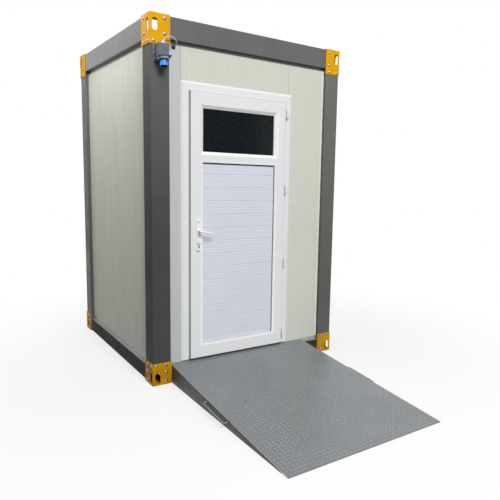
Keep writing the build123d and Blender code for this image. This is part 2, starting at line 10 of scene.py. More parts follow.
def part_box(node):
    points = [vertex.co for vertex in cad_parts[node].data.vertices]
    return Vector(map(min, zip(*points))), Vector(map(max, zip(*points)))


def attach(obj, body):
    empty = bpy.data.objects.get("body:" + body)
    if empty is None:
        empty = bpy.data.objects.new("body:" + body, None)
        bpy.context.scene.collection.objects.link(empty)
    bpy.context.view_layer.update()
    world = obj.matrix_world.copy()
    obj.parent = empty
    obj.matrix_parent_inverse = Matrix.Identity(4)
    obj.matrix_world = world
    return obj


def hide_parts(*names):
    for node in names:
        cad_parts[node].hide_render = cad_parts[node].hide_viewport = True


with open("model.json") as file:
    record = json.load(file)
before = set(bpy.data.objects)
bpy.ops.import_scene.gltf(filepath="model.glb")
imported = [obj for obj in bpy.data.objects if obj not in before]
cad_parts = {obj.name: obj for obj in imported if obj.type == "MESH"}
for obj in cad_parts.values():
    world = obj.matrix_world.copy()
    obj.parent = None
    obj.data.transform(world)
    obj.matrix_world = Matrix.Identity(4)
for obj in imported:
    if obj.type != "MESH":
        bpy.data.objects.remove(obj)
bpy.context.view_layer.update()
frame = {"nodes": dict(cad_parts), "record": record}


def vec(x, y, z):
    return Vector((x, y, z))


nodes = frame["nodes"]
record = frame["record"]
alongX, alongY, alongZ = vec(1, 0, 0), vec(0, 1, 0), vec(0, 0, 1)
random.seed(11)
print("frame loaded:", len(nodes), "nodes")

# planes and axes that several pieces use, read from the frame
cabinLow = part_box("lower_corner_front_left")[0]
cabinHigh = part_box("upper_corner_back_right")[1]
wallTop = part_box("roof_beam_front")[0].z    # foot of the lip under the roof beam
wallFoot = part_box("sill_flashings")[1].z    # top of the sill flashing
leafLow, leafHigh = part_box("door_sash")
glassLow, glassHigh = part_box("door_glass")
panelLow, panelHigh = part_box("door_panel")
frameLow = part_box("door_frame_lock_jamb")[0]
frameHigh = vec(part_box("door_frame_hinge_jamb")[1].x, 0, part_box("door_frame_head")[1].z)
pivots = {joint["name"]: Vector(joint["pos_m"]) for joint in record["behaviour"]["joints"]}


# tools for shading

def socketOf(node, name):
    return next(s for s in node.inputs if s.name == name and s.enabled)


def plug(tree, node, name, value):
    socket = socketOf(node, name)
    if isinstance(value, bpy.types.NodeSocket):
        tree.links.new(value, socket)
    else:
        socket.default_value = value


def addNode(tree, kind, settings=None, **inputs):
    node = tree.nodes.new(f"ShaderNode{kind}")
    for key, value in (settings or {}).items():
        setattr(node, key, value)
    for name, value in inputs.items():
        plug(tree, node, name.replace("_", " "), value)
    return node


def place(tree, stretch=(1, 1, 1)):    # Object coordinates, stretched for streaks and grain
    coords = addNode(tree, "TexCoord").outputs["Object"]
    return addNode(tree, "Mapping", Vector=coords, Scale=stretch).outputs["Vector"]


def noise(tree, scale, detail=3.0, rough=0.55, stretch=(1, 1, 1)):
    node = addNode(tree, "TexNoise", Vector=place(tree, stretch), Scale=scale, Detail=detail,
                   Roughness=rough)
    return node.outputs[0]


def spread(tree, value, low, high, toLow=0.0, toHigh=1.0):
    node = addNode(tree, "MapRange", {"interpolation_type": "SMOOTHSTEP"}, Value=value,
                   From_Min=low, From_Max=high, To_Min=toLow, To_Max=toHigh)
    return node.outputs["Result"]


def combine(tree, operation, first, second):
    node = addNode(tree, "Math", {"operation": operation})
    tree.links.new(first, node.inputs[0])
    tree.links.new(second, node.inputs[1])
    return node.outputs[0]


def mixColor(tree, share, first, second):
    node = addNode(tree, "Mix", {"data_type": "RGBA"}, Factor=share)
    for name, value in (("A", first), ("B", second)):
        plug(tree, node, name, value if isinstance(value, bpy.types.NodeSocket) else (*value, 1))
    return next(o for o in node.outputs if o.name == "Result" and o.enabled)


def partOf(tree, axis):
    coords = addNode(tree, "TexCoord").outputs["Object"]
    return addNode(tree, "SeparateXYZ", Vector=coords).outputs[axis]


def shaded(color, share):
    return tuple(min(1.0, c * share) for c in color)


def makeFinish(name, look):    # one surface finish from its dictionary
    material = bpy.data.materials.new(name)
    material.use_nodes = True
    tree = material.node_tree
    body = tree.nodes["Principled BSDF"]
    color = look["color"]
    vary = look.get("vary", 0.06)
    patches = spread(tree, noise(tree, look.get("patchScale", 2.2), 4.0), 0.3, 0.7)
    painted = mixColor(tree, patches, shaded(color, 1 - vary), shaded(color, 1 + vary))
    dots = noise(tree, look.get("fleckScale", 160.0), 2.0)
    fleck = spread(tree, dots, 0.56, 0.76, 0.0, look.get("fleck", 0.12))
    painted = mixColor(tree, fleck, painted, shaded(color, look.get("fleckShade", 0.7)))
    for scale, stretch, start, end, amount, tint in look.get("streaks", []):    # runs and rubbing, and painted reflection streaks on the side walls
        runs = noise(tree, scale, 4.0, 0.6, stretch)
        painted = mixColor(tree, spread(tree, runs, start, end, 0.0, amount), painted, tint)
    for axis, start, end, amount, thin, scale, tint in look.get("bands", []):    # darker or tinted along an axis: dust near the ground, painted shade low down, painted reflection across the glass
        mask = spread(tree, partOf(tree, axis), start, end, 0.0, amount)
        ragged = spread(tree, noise(tree, scale, 4.0), 0.25, 0.7, thin, 1.0)
        painted = mixColor(tree, combine(tree, "MULTIPLY", mask, ragged), painted, tint)
    if "spangle" in look:    # zinc crystals
        cells = addNode(tree, "TexVoronoi", Vector=place(tree), Scale=look["spangle"])
        tint = addNode(tree, "SeparateXYZ", Vector=cells.outputs["Color"]).outputs["X"]
        painted = mixColor(tree, spread(tree, tint, 0.0, 1.0, 0.0, 0.5), painted, shaded(color, 0.72))
    tree.links.new(painted, socketOf(body, "Base Color"))
    smooth, matt = look["rough"]
    rubbed = spread(tree, noise(tree, look.get("rubScale", 9.0), 4.0), 0.3, 0.72, smooth, matt)
    tree.links.new(rubbed, socketOf(body, "Roughness"))
    for key, socket in (("gloss", "Specular IOR Level"), ("metal", "Metallic")):
        if key in look:
            plug(tree, body, socket, look[key])
    grain = noise(tree, 700.0, 2.0, 0.5, look.get("grainStretch", (1, 1, 1)))
    relief = addNode(tree, "Bump", Strength=look.get("grain", 0.12), Distance=0.0006, Height=grain)
    if "wave" in look:    # slow waviness of thin sheet and rolled plate
        scale, strength, depth, stretch = look["wave"]
        slow = noise(tree, scale, 1.0, 0.4, stretch)
        under = relief.outputs["Normal"]
        relief = addNode(tree, "Bump", Strength=strength, Distance=depth, Height=slow, Normal=under)
    tree.links.new(relief.outputs["Normal"], socketOf(body, "Normal"))
    return material


# finishes, named for what they cover; makeFinish names the values of streaks, bands and waves

paintBase = {"grain": 0.2, "fleck": 0.2, "fleckShade": 1.4, "rubScale": 5.0}
skinBase = {"vary": 0.02, "rough": (0.3, 0.42), "grain": 0.08, "fleck": 0.05}
skinWave = (1.6, 0.1, 0.006, (1, 1, 0.35))
plasticBase = {"vary": 0.004, "fleck": 0.02, "rubScale": 3.0}
finishLooks = {
    "framePaint": {
        **paintBase, "color": (0.122, 0.121, 0.118), "rough": (0.48, 0.6), "gloss": 0.03,
        "streaks": [(3.0, (9, 9, 0.5), 0.5, 0.75, 0.16, (0.19, 0.19, 0.185))],
        # painted shade: the frame paint darkens towards the ground
        "bands": [("Z", 2.5, 1.0, 0.8, 0.85, 7.0, (0.046, 0.047, 0.048))],
        "wave": (3.0, 0.12, 0.004, (1, 1, 0.4))},
    # painted light: a lighter copy of the frame paint for two posts, also darkening towards the ground as
    # painted shade
    "litFramePaint": {
        **paintBase, "color": (0.152, 0.149, 0.138), "rough": (0.38, 0.52), "gloss": 0.15,
        "bands": [("Z", 2.5, 0.6, 0.6, 0.85, 7.0, (0.075, 0.074, 0.07))]},
    "railPaint": {
        "color": (0.036, 0.036, 0.034), "vary": 0.1, "rough": (0.5, 0.65), "grain": 0.25, "fleck": 0.3,
        "fleckShade": 1.8, "gloss": 0.03},
    "beamPaint": {
        **paintBase, "color": (0.104, 0.104, 0.102), "rough": (0.2, 0.32), "grain": 0.16, "fleck": 0.15,
        "gloss": 0.5, "streaks": [(5.0, (1.5, 1.5, 1), 0.5, 0.72, 0.2, (0.17, 0.17, 0.165))],
        "wave": (3.0, 0.14, 0.004, (0.5, 0.5, 1))},
    "cornerPaint": {
        "color": (0.73, 0.362, 0.002), "rough": (0.45, 0.6), "grain": 0.16, "fleck": 0.4,
        "fleckShade": 0.5, "fleckScale": 85.0, "gloss": 0.07,
        "streaks": [(22.0, (1, 1, 0.5), 0.68, 0.74, 0.5, (0.36, 0.17, 0.02))],
        # painted shade: the brackets darken towards the ground
        "bands": [("Z", 0.6, 0.16, 0.8, 0.35, 7.0, (0.36, 0.175, 0.004))]},
    "wallSkin": {
        **skinBase, "color": (0.625, 0.63, 0.553), "patchScale": 1.4, "gloss": 0.2,
        "streaks": [(4.0, (14, 14, 0.35), 0.55, 0.8, 0.16, (0.54, 0.54, 0.475))],
        "bands": [("Z", 0.5, 0.14, 0.2, 0.35, 7.0, (0.47, 0.46, 0.41))], "wave": skinWave},
    "trimSkin": {**skinBase, "color": (0.74, 0.74, 0.665), "gloss": 0.2},
    # painted shade and reflection: a copy of the wall skin for the side and back walls, streaked as painted
    # reflection and darkening towards the ground as painted shade
    "shadedSideSkin": {
        **skinBase, "color": (0.625, 0.63, 0.553), "patchScale": 1.4, "gloss": 0.2,
        "streaks": [(4.0, (14, 14, 0.35), 0.5, 0.8, 0.25, (0.5, 0.505, 0.445)),
                    (3.0, (5, 5, 0.25), 0.48, 0.62, 0.24, (0.46, 0.47, 0.42))],
        "bands": [("Z", 1.7, 0.14, 0.42, 0.7, 7.0, (0.4, 0.395, 0.34))],
        "wave": skinWave},
    "plainSkin": {**skinBase, "color": (0.49, 0.52, 0.495), "patchScale": 1.4},
    "roofSkin": {
        "color": (0.56, 0.57, 0.54), "vary": 0.05, "rough": (0.36, 0.55), "grain": 0.1,
        "streaks": [(5.0, (4, 0.5, 1), 0.5, 0.75, 0.3, (0.33, 0.32, 0.28))]},
    "floorCover": {
        "color": (0.2, 0.19, 0.175), "vary": 0.1, "rough": (0.45, 0.62), "grain": 0.25, "fleck": 0.6,
        "fleckShade": 1.9, "fleckScale": 320.0},
    "zincSteel": {
        "color": (0.4, 0.42, 0.41), "vary": 0.08, "rough": (0.36, 0.56), "grain": 0.1, "metal": 0.55,
        "spangle": 55.0, "streaks": [(14.0, (3, 3, 1), 0.6, 0.75, 0.4, (0.24, 0.235, 0.22))]},
    "whiteProfile": {
        **plasticBase, "color": (0.75, 0.755, 0.765), "rough": (0.3, 0.34), "grain": 0.05,
        "fleckShade": 0.85},
    # painted light: lighter copies of the white profile for beads, handle plates, levers and roses
    "litBeadWhite": {**plasticBase, "color": (0.9, 0.885, 0.85), "rough": (0.2, 0.26), "grain": 0.04},
    "litGripWhite": {**plasticBase, "color": (0.84, 0.845, 0.855), "rough": (0.22, 0.28), "grain": 0.04},
    "doorInfill": {
        "color": (0.65, 0.67, 0.745), "vary": 0.02, "rough": (0.3, 0.42), "grain": 0.08,
        "grainStretch": (0.06, 1, 1), "fleck": 0.06,
        "streaks": [(6.0, (0.5, 1, 16), 0.52, 0.72, 0.14, (0.57, 0.59, 0.67))]},
    "darkGlass": {
        "color": (0.0024, 0.0049, 0.0082), "vary": 0.5, "patchScale": 45.0, "rough": (0.1, 0.3),
        "grain": 0.03, "fleck": 0.7, "fleckShade": 3.4, "fleckScale": 130.0, "rubScale": 90.0, "gloss": 0.09,
        # painted reflection: the glass lightens from left to right
        "bands": [("X", -0.12, 0.28, 1.0, 0.5, 30.0, (0.015, 0.019, 0.0185))],
        "wave": (60.0, 0.25, 0.002, (1, 1, 1))},
    "thresholdMetal": {
        "color": (0.46, 0.47, 0.47), "rough": (0.28, 0.45), "grain": 0.2, "grainStretch": (0.03, 1, 1),
        "metal": 0.8},
    "rampPaint": {
        "color": (0.172, 0.187, 0.195), "vary": 0.05, "rough": (0.26, 0.42), "grain": 0.18, "fleck": 0.3,
        "fleckShade": 1.35, "fleckScale": 70.0, "rubScale": 4.0, "gloss": 0.55,
        "streaks": [(5.0, (3, 0.5, 1), 0.55, 0.75, 0.2, (0.27, 0.275, 0.27))],
        "wave": (2.4, 0.16, 0.008, (1, 1, 1))},
    # partly wear on the lug tops, partly painted highlight: the lugs are lighter than the plate
    "rampLugPaint": {
        "color": (0.27, 0.283, 0.288), "vary": 0.12, "rough": (0.22, 0.36), "grain": 0.1,
        "patchScale": 5.0, "gloss": 0.7},
    "rampFramePaint": {
        "color": (0.038, 0.037, 0.034), "vary": 0.12, "rough": (0.42, 0.62), "grain": 0.2, "fleck": 0.3,
        "fleckShade": 2.2, "bands": [("Z", 0.05, 0.0, 0.3, 0.35, 7.0, (0.3, 0.275, 0.23))]},
}
plainLooks = {    # colour, how far it varies, roughness from and to, grain, metal
    "weldLine": ((0.55, 0.56, 0.58), 0.03, (0.4, 0.5), 0.12, 0.0),
    # partly painted shade: the grey of the lips in the door gaps
    "sealAndShadeGrey": ((0.3, 0.295, 0.31), 0.08, (0.55, 0.7), 0.15, 0.0),
    "rubber": ((0.018, 0.018, 0.019), 0.15, (0.55, 0.75), 0.2, 0.0),
    # partly painted highlight: the ramp's bright cut edges
    "litCutEdge": ((0.5, 0.51, 0.5), 0.1, (0.3, 0.5), 0.12, 0.5),
    "boltZinc": ((0.27, 0.275, 0.28), 0.06, (0.18, 0.3), 0.1, 1.0),
    "inletGrey": ((0.105, 0.113, 0.13), 0.05, (0.4, 0.55), 0.3, 0.0),
    "inletDarkBlue": ((0.012, 0.075, 0.32), 0.06, (0.3, 0.42), 0.15, 0.0),
    "inletBrightBlue": ((0.024, 0.235, 0.8), 0.05, (0.26, 0.4), 0.1, 0.0),
    "inletRing": ((0.4, 0.385, 0.36), 0.05, (0.35, 0.5), 0.15, 0.0),
    "glandPlastic": ((0.66, 0.67, 0.66), 0.05, (0.4, 0.55), 0.15, 0.0),
    "cableJacket": ((0.4, 0.45, 0.47), 0.06, (0.4, 0.55), 0.2, 0.0),
    # painted shade on the handle plates: dark screw heads, a ring round the lock, a slot below it and a strip
    # under the plate
    "darkScrewsAndShade": ((0.035, 0.035, 0.037), 0.1, (0.4, 0.55), 0.12, 0.0),
    "lockMetal": ((0.74, 0.74, 0.72), 0.05, (0.24, 0.38), 0.1, 0.85),
}
for name, row in plainLooks.items():
    finishLooks[name] = dict(zip(("color", "vary", "rough", "grain", "metal"), row))
finishes = {name: makeFinish(name, look) for name, look in finishLooks.items()}

slotFinish = {    # record slot to finish
    "frame_paint": "framePaint", "corner_paint": "cornerPaint", "wall_skin": "wallSkin",
    "roof_skin": "roofSkin", "floor_covering": "floorCover", "galvanised": "zincSteel",
    "white_profile": "whiteProfile", "threshold_metal": "thresholdMetal", "door_infill": "doorInfill",
    "dark_glass": "darkGlass", "ramp_plate_paint": "rampPaint", "ramp_frame_paint": "rampFramePaint",
    "inlet_grey": "inletGrey", "inlet_dark_blue": "inletDarkBlue", "inlet_bright_blue": "inletBrightBlue",
    "gland_plastic": "glandPlastic", "cable_jacket": "cableJacket", "lock_metal": "lockMetal",
}
finishSlot = {finish: slot for slot, finish in slotFinish.items()}    # and back, from finish to record slot
finishSlot.update({
    "shadedSideSkin": "wall_skin", "trimSkin": "wall_skin", "litBeadWhite": "white_profile",
    "litGripWhite": "white_profile", "weldLine": "white_profile", "boltZinc": "galvanised",
    "inletRing": "inlet_grey", "rampLugPaint": "ramp_plate_paint", "litCutEdge": "ramp_plate_paint",
})
for part in record["subparts"]:
    nodeMesh = nodes[part["node"]].data
    nodeMesh.materials.clear()
    nodeMesh.materials.append(finishes[slotFinish[part["material_slot"]]])
nodes["front_wall_left"].data.materials[0] = finishes["plainSkin"]
for side in ("front", "back", "left", "right"):
    nodes[f"roof_beam_{side}"].data.materials[0] = finishes["beamPaint"]
    nodes[f"floor_rail_{side}"].data.materials[0] = finishes["railPaint"]
# painted light: these two posts get the lighter copy of the frame paint
for node in ("post_front_right", "post_back_left"):
    nodes[node].data.materials[0] = finishes["litFramePaint"]
# painted light: the handle plates get a lighter white than the leaf
for node in ("outside_plate", "inside_plate"):
    nodes[node].data.materials[0] = finishes["litGripWhite"]
print("finishes made:", len(finishes))


# tools for modelling

def pick(table, *keys):
    return [table[k] for k in keys]


def onlyVerts(geometry):
    return [v for v in geometry if isinstance(v, bmesh.types.BMVert)]


def spinProfile(bm, profile, foot, axis, steps=24):    # profile of (radius, height) pairs about an axis
    across = axis.orthogonal().normalized()
    verts = [bm.verts.new(foot + across * r + axis * h) for r, h in profile]
    edges = [bm.edges.new(pair) for pair in zip(verts, verts[1:])]
    bmesh.ops.spin(bm, geom=verts + edges, cent=foot, axis=axis, angle=tau, steps=steps, use_merge=True)
    bmesh.ops.remove_doubles(bm, verts=bm.verts, dist=1e-6)


def addPrism(bm, points, along):    # a flat outline pushed along a direction
    face = bm.faces.new([bm.verts.new(p) for p in points])
    pushed = bmesh.ops.extrude_face_region(bm, geom=[face])
    bmesh.ops.translate(bm, vec=along, verts=onlyVerts(pushed["geom"]))


def addBox(bm, low, high, bevel=0.0, segments=2, turn=Matrix.Identity(4)):
    low, high = Vector(low), Vector(high)
    spot = turn @ Matrix.Translation((low + high) / 2) @ Matrix.Diagonal((*(high - low), 1))
    made = bmesh.ops.create_cube(bm, size=1, matrix=spot)
    if bevel:
        edges = list({e for v in made["verts"] for e in v.link_edges})
        bmesh.ops.bevel(bm, geom=edges, offset=bevel, affect="EDGES", segments=segments, profile=0.5,
                        material=-1)


def sweepRings(bm, stations, segments=20):    # each station places a unit circle
    ring = bmesh.ops.create_circle(bm, segments=segments, radius=1, matrix=stations[0])["verts"]
    edges = list({e for v in ring for e in v.link_edges})
    bmesh.ops.contextual_create(bm, geom=edges)
    for before, after in zip(stations, stations[1:]):
        grown = bmesh.ops.extrude_edge_only(bm, edges=edges)["geom"]
        edges = [e for e in grown if isinstance(e, bmesh.types.BMEdge)]
        bmesh.ops.transform(bm, matrix=after @ before.inverted(), verts=onlyVerts(grown))
    bmesh.ops.contextual_create(bm, geom=edges)


def station(spot, ahead, side, wide, tall):    # a ring square to its path
    ahead = ahead.normalized()
    side = (side - ahead * side.dot(ahead)).normalized()
    turn = Matrix((side * wide, ahead.cross(side) * tall, ahead)).transposed().to_4x4()
    return Matrix.Translation(spot) @ turn


def templateMesh(build):    # a small shape made once and stamped many times
    bm = bmesh.new()
    build(bm)
    bmesh.ops.recalc_face_normals(bm, faces=bm.faces)
    mesh = bpy.data.meshes.new("template")
    bm.to_mesh(mesh)
    bm.free()
    return mesh


def stamp(bm, mesh, matrix):
    before = len(bm.verts)
    bm.from_mesh(mesh)
    bm.verts.ensure_lookup_table()
    bmesh.ops.transform(bm, matrix=matrix, verts=bm.verts[before:])


def facing(spot, outward, turn=0.0):    # local Z along outward, at a spot
    lean = outward.to_track_quat("Z", "Y").to_matrix().to_4x4()
    return Matrix.Translation(spot) @ lean @ Matrix.Rotation(turn, 4, "Z")


def newObject(name, data):
    made = bpy.data.objects.new(name, data)
    bpy.context.scene.collection.objects.link(made)
    return made


def addPiece(name, bm, finish, smoothAngle, body="cabin", normals=True, replaces=()):
    if normals:
        bmesh.ops.recalc_face_normals(bm, faces=bm.faces)
    mesh = bpy.data.meshes.new(name)
    bm.to_mesh(mesh)
    bm.free()
    mesh.polygons.foreach_set("use_smooth", [True] * len(mesh.polygons))
    mesh.set_sharp_from_angle(angle=radians(smoothAngle))
    mesh.materials.append(finishes[finish])
    piece = newObject(name, mesh)
    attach(piece, body)
    if replaces:
        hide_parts(*replaces)


def addTurned(name, profile, foot, axis, steps, finish, smoothAngle, body="cabin", replaces=()):
    bm = bmesh.new()
    spinProfile(bm, profile, foot, axis, steps)
    addPiece(name, bm, finish, smoothAngle, body, replaces=replaces)


def buildScrew(bm):    # small domed head
    profile = [(0.0042, 0), (0.0042, 0.0007), (0.0036, 0.0018), (0.0021, 0.0025), (0, 0.0027)]
    spinProfile(bm, profile, Vector(), alongZ, 14)


screwMesh = templateMesh(buildScrew)


# camera at the photo's standpoint

cameraSet = {"place": (-2.13341, -3.76796, 1.52808), "lens": 38.26, "shiftX": -0.1145, "yaw": 36.45,
             "pitch": -7.62, "roll": 1.66}


def addCamera():
    yaw, pitch, roll = (radians(cameraSet[k]) for k in ("yaw", "pitch", "roll"))
    ahead = vec(sin(yaw) * cos(pitch), cos(yaw) * cos(pitch), sin(pitch))
    right = vec(cos(yaw), -sin(yaw), 0)
    up = right.cross(ahead)
    turnedRight = cos(roll) * right + sin(roll) * up
    turnedUp = -sin(roll) * right + cos(roll) * up
    data = bpy.data.cameras.new("camera")
    data.lens = cameraSet["lens"]
    data.sensor_width = 36
    data.sensor_fit = "HORIZONTAL"
    data.shift_x = cameraSet["shiftX"]
    camera = newObject("camera", data)
    turn = Matrix((turnedRight, turnedUp, -ahead)).transposed().to_4x4()
    camera.matrix_world = Matrix.Translation(cameraSet["place"]) @ turn
    bpy.context.scene.camera = camera


addCamera()
print("camera set")


# lead from the power inlet into the wall

lead = {"diameter": 0.0106, "start": (-0.735421, -0.187, 2.416398), "length": 0.181}
leadRoute = [    # steps from where it leaves the gland
    (0, 0, 0), (0.009, 0, 0.019), (0.034, 0, 0.036), (0.066, 0.003, 0.036),
    (0.093, 0.012, 0.024), (0.105, 0.029, 0.008), (0.101, 0.051, -0.007), (0.097, 0.068, -0.012),
]


def addLead():
    curve = bpy.data.curves.new("inletLead", "CURVE")
    curve.dimensions = "3D"
    curve.bevel_depth = lead["diameter"] / 2
    curve.bevel_resolution = 6
    curve.resolution_u = 10
    line = curve.splines.new("NURBS")
    line.points.add(len(leadRoute) - 1)
    for point, step in zip(line.points, leadRoute):
        point.co = (*(Vector(lead["start"]) + Vector(step)), 1)
    line.order_u = 3
    line.use_endpoint_u = True
    curve.materials.append(finishes["cableJacket"])
    piece = newObject("inletLead", curve)
    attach(piece, "cabin")
    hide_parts("inlet_cable")


addLead()
print("lead laid")


# walls: ribbed skins and edge trims

wallRibs = {"pitch": 0.0285, "rise": 0.0018, "slopeWidth": 0.0021, "base": 0.0004}
jointBead = {"from": 0.0015, "width": 0.0045, "proud": 0.0018, "edge": 0.0006}    # beside the front joint
wallTrim = {"width": 0.018, "proud": 0.0028, "edge": 0.0012}
frontJoints = {"left": frameLow.x + 0.002, "right": frameHigh.x - 0.031, "gap": 0.002}


def ribProfile(length, shift):    # (distance, rise) pairs of a finely ribbed sheet
    pitch, slope, flat = wallRibs["pitch"], wallRibs["slopeWidth"], wallRibs["base"]
    rise = flat + wallRibs["rise"]
    points = [(0.0, 0.0), (0.0, flat)]
    at = pitch / 2 - shift % pitch
    while at + pitch / 2 < length:
        if at > 0:
            points += [(at, flat), (at + slope, rise), (at + pitch / 2 - slope, rise), (at + pitch / 2, flat)]
        at += pitch
    return points + [(length, flat), (length, 0.0)]


def addSkin(bm, corner, across, outward, width, bottom, top, shift=0.0):
    start = vec(corner.x, corner.y, bottom)
    points = [start + across * d + outward * h for d, h in ribProfile(width, shift)]
    addPrism(bm, points, alongZ * (top - bottom))


def addTrim(bm, corner, across, outward, bottom, top):    # smooth cover strip beside a post
    width, proud, edge = wallTrim["width"], wallTrim["proud"], wallTrim["edge"]
    start = vec(corner.x, corner.y, bottom)
    outline = [(0, 0), (0, proud), (width - edge, proud), (width, proud - edge), (width, 0)]
    addPrism(bm, [start + across * d + outward * h for d, h in outline], alongZ * (top - bottom))


def addSideWall(name, node, outward):
    low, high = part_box(node)
    skin, trim = bmesh.new(), bmesh.new()
    if abs(outward.x) > 0.5:
        plane = low.x if outward.x < 0 else high.x
        ends = vec(plane, low.y, 0), vec(plane, high.y, 0)
    else:
        plane = low.y if outward.y < 0 else high.y
        ends = vec(low.x, plane, 0), vec(high.x, plane, 0)
    across = (ends[1] - ends[0]).normalized()
    inset = wallTrim["width"]
    width = (ends[1] - ends[0]).length - 2 * inset
    addSkin(skin, ends[0] + across * inset, across, outward, width, wallFoot, wallTop)
    addTrim(trim, ends[0], across, outward, wallFoot, wallTop)
    addTrim(trim, ends[1], -across, outward, wallFoot, wallTop)
    addPiece(f"{name}Skin", skin, "shadedSideSkin", 20)
    addPiece(f"{name}Trim", trim, "shadedSideSkin", 20)


def addFrontWall():
    low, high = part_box("front_wall_right")
    leftJoint, rightJoint, gap = frontJoints["left"], frontJoints["right"], frontJoints["gap"]
    panels = [    # left edge, right edge, bottom, where its ribs start
        (leftJoint + gap, rightJoint - gap, frameHigh.z, leftJoint),
        (rightJoint + gap, frameHigh.x, frameHigh.z, rightJoint),
        (frameHigh.x, high.x - wallTrim["width"], wallFoot, rightJoint),
    ]
    skin, trim = bmesh.new(), bmesh.new()
    for left, right, bottom, start in panels:
        corner = vec(left, low.y, 0)
        addSkin(skin, corner, alongX, -alongY, right - left, bottom, wallTop, left - start)
    addTrim(trim, vec(high.x, low.y, 0), -alongX, -alongY, wallFoot, wallTop)
    beadLeft = rightJoint + jointBead["from"]
    beadLow = (beadLeft, low.y - jointBead["proud"], frameHigh.z)
    addBox(trim, beadLow, (beadLeft + jointBead["width"], low.y, wallTop), jointBead["edge"])
    addPiece("frontWallSkin", skin, "wallSkin", 20)
    addPiece("frontWallTrim", trim, "trimSkin", 20)


addFrontWall()
addSideWall("leftWall", "left_wall", -alongX)
addSideWall("rightWall", "right_wall", alongX)
addSideWall("backWall", "back_wall", alongY)
print("wall skins laid")


# corner brackets: domed bolts on washers

cornerBolt = {"head": 0.0105, "height": 0.0066, "washer": 0.0125, "washerThick": 0.0014}
upperBolts = [(0.107, 0.028), (0.107, 0.128), (0.107, 0.182), (0.029, 0.182)]    # from the corner edge, down
lowerBolts = [(0.102, 0.147), (0.026, 0.147), (0.102, 0.093), (0.102, 0.027)]    # from the corner edge, up


def buildBolt(bm):
    washer, thick, head, tall = pick(cornerBolt, "washer", "washerThick", "head", "height")
    rim = [(washer, 0), (washer, thick * 0.7), (washer - 0.0006, thick), (head, thick),
           (head, thick + 0.0012)]
    dome = [(head * r, thick + tall * h) for r, h in ((0.94, 0.42), (0.76, 0.72), (0.45, 0.93), (0, 1))]
    spinProfile(bm, rim + dome, Vector(), alongZ, 20)


def addBolts():
    bolt = templateMesh(buildBolt)
    bm = bmesh.new()
    rows = [(d, cabinHigh.z - z) for d, z in upperBolts] + [(d, cabinLow.z + z) for d, z in lowerBolts]
    for signX, edgeX in ((1, cabinLow.x), (-1, cabinHigh.x)):
        for signY, edgeY in ((1, cabinLow.y), (-1, cabinHigh.y)):
            for inward, height in rows:
                turn = random.uniform(0, tau)
                onEnd = vec(edgeX + signX * inward, edgeY, height)
                onSide = vec(edgeX, edgeY + signY * inward, height)
                stamp(bm, bolt, facing(onEnd, -signY * alongY, turn))
                stamp(bm, bolt, facing(onSide, -signX * alongX, turn))
    addPiece("bracketBolts", bm, "boltZinc", 40)


addBolts()
print("bolts set")


# door leaf: planked infill, beads, gaskets, painted shadow strips, seals and weld lines

infill = {"pitch": 0.1, "first": 0.093}
infillLines = [    # share of the way down a plank, half width, depth
    (0.0, 0.0035, 0.003), (0.19, 0.003, 0.0014), (0.55, 0.003, 0.0011), (0.72, 0.002, 0.0007),
]
leafSet = {"stile": 0.078, "topRail": 0.083, "bottomRail": 0.087, "unitInset": 0.007, "glassSlope": 0.024,
           "panelSlope": 0.017, "jambFace": 0.059, "headFace": 0.064}
# over and beside size the dark strips of painted shadow on the panel
gasketAndShadowSet = {"finProud": 0.002, "finDeep": 0.0025, "proud": 0.0025, "lap": 0.0005, "over": 0.01,
             "beside": 0.003, "edge": 0.0006}
beadSet = {"proud": 0.0003, "thick": 0.0006, "glassLess": 0.001, "glassShare": 0.6, "panelDrop": 0.004,
           "hingeCover": 0.013, "coverEdge": 0.0002}
sealSet = {"gap": 0.008, "clear": 0.0008, "front": 0.0135, "back": 0.019, "headFront": 0.01,
           "headClear": 0.0015, "footInset": 0.004, "footFront": 0.002, "footDeep": 0.008, "footDrop": 0.009,
           "edge": 0.0008}
weldSet = {"start": 0.04, "half": 0.0005, "proud": 0.0001, "frameIn": 0.017, "frameDrop": 0.0185,
           "rebateIn": 0.0035, "rebateEnd": 0.004, "rebateHalf": 0.0014}


def addInfill():
    joint = panelHigh.z - infill["first"] + infill["pitch"]
    cuts = []
    while joint > panelLow.z:
        cuts += [(joint - share * infill["pitch"], half, deep) for share, half, deep in infillLines]
        joint -= infill["pitch"]
    outline = [(panelHigh.z, 0.0)]
    for z, half, deep in cuts:
        if panelLow.z + half < z < panelHigh.z - half:
            outline += [(z + half, 0.0), (z, deep), (z - half, 0.0)]
    outline.append((panelLow.z, 0.0))
    front = [vec(panelLow.x, panelLow.y + deep, z) for z, deep in outline]
    back = [vec(panelLow.x, panelHigh.y, z) for z in (panelLow.z, panelHigh.z)]
    bm = bmesh.new()
    addPrism(bm, front + back, alongX * (panelHigh.x - panelLow.x))
    addPiece("doorInfillPlanks", bm, "doorInfill", 15, "door", replaces=["door_panel"])


def addFin(bm, low, high, inset):    # paper-thin rubber edge on the glass or panel
    left, right, foot, top = low.x + inset, high.x - inset, low.z + inset, high.z - inset
    corners = [(left, foot), (right, foot), (right, top), (left, top)]
    verts = [bm.verts.new((x, low.y - gasketAndShadowSet["finProud"], z)) for x, z in corners]
    edges = [bm.edges.new((verts[i - 1], verts[i])) for i in range(4)]
    grown = bmesh.ops.extrude_edge_only(bm, edges=edges)["geom"]
    bmesh.ops.translate(bm, vec=alongY * gasketAndShadowSet["finDeep"], verts=onlyVerts(grown))


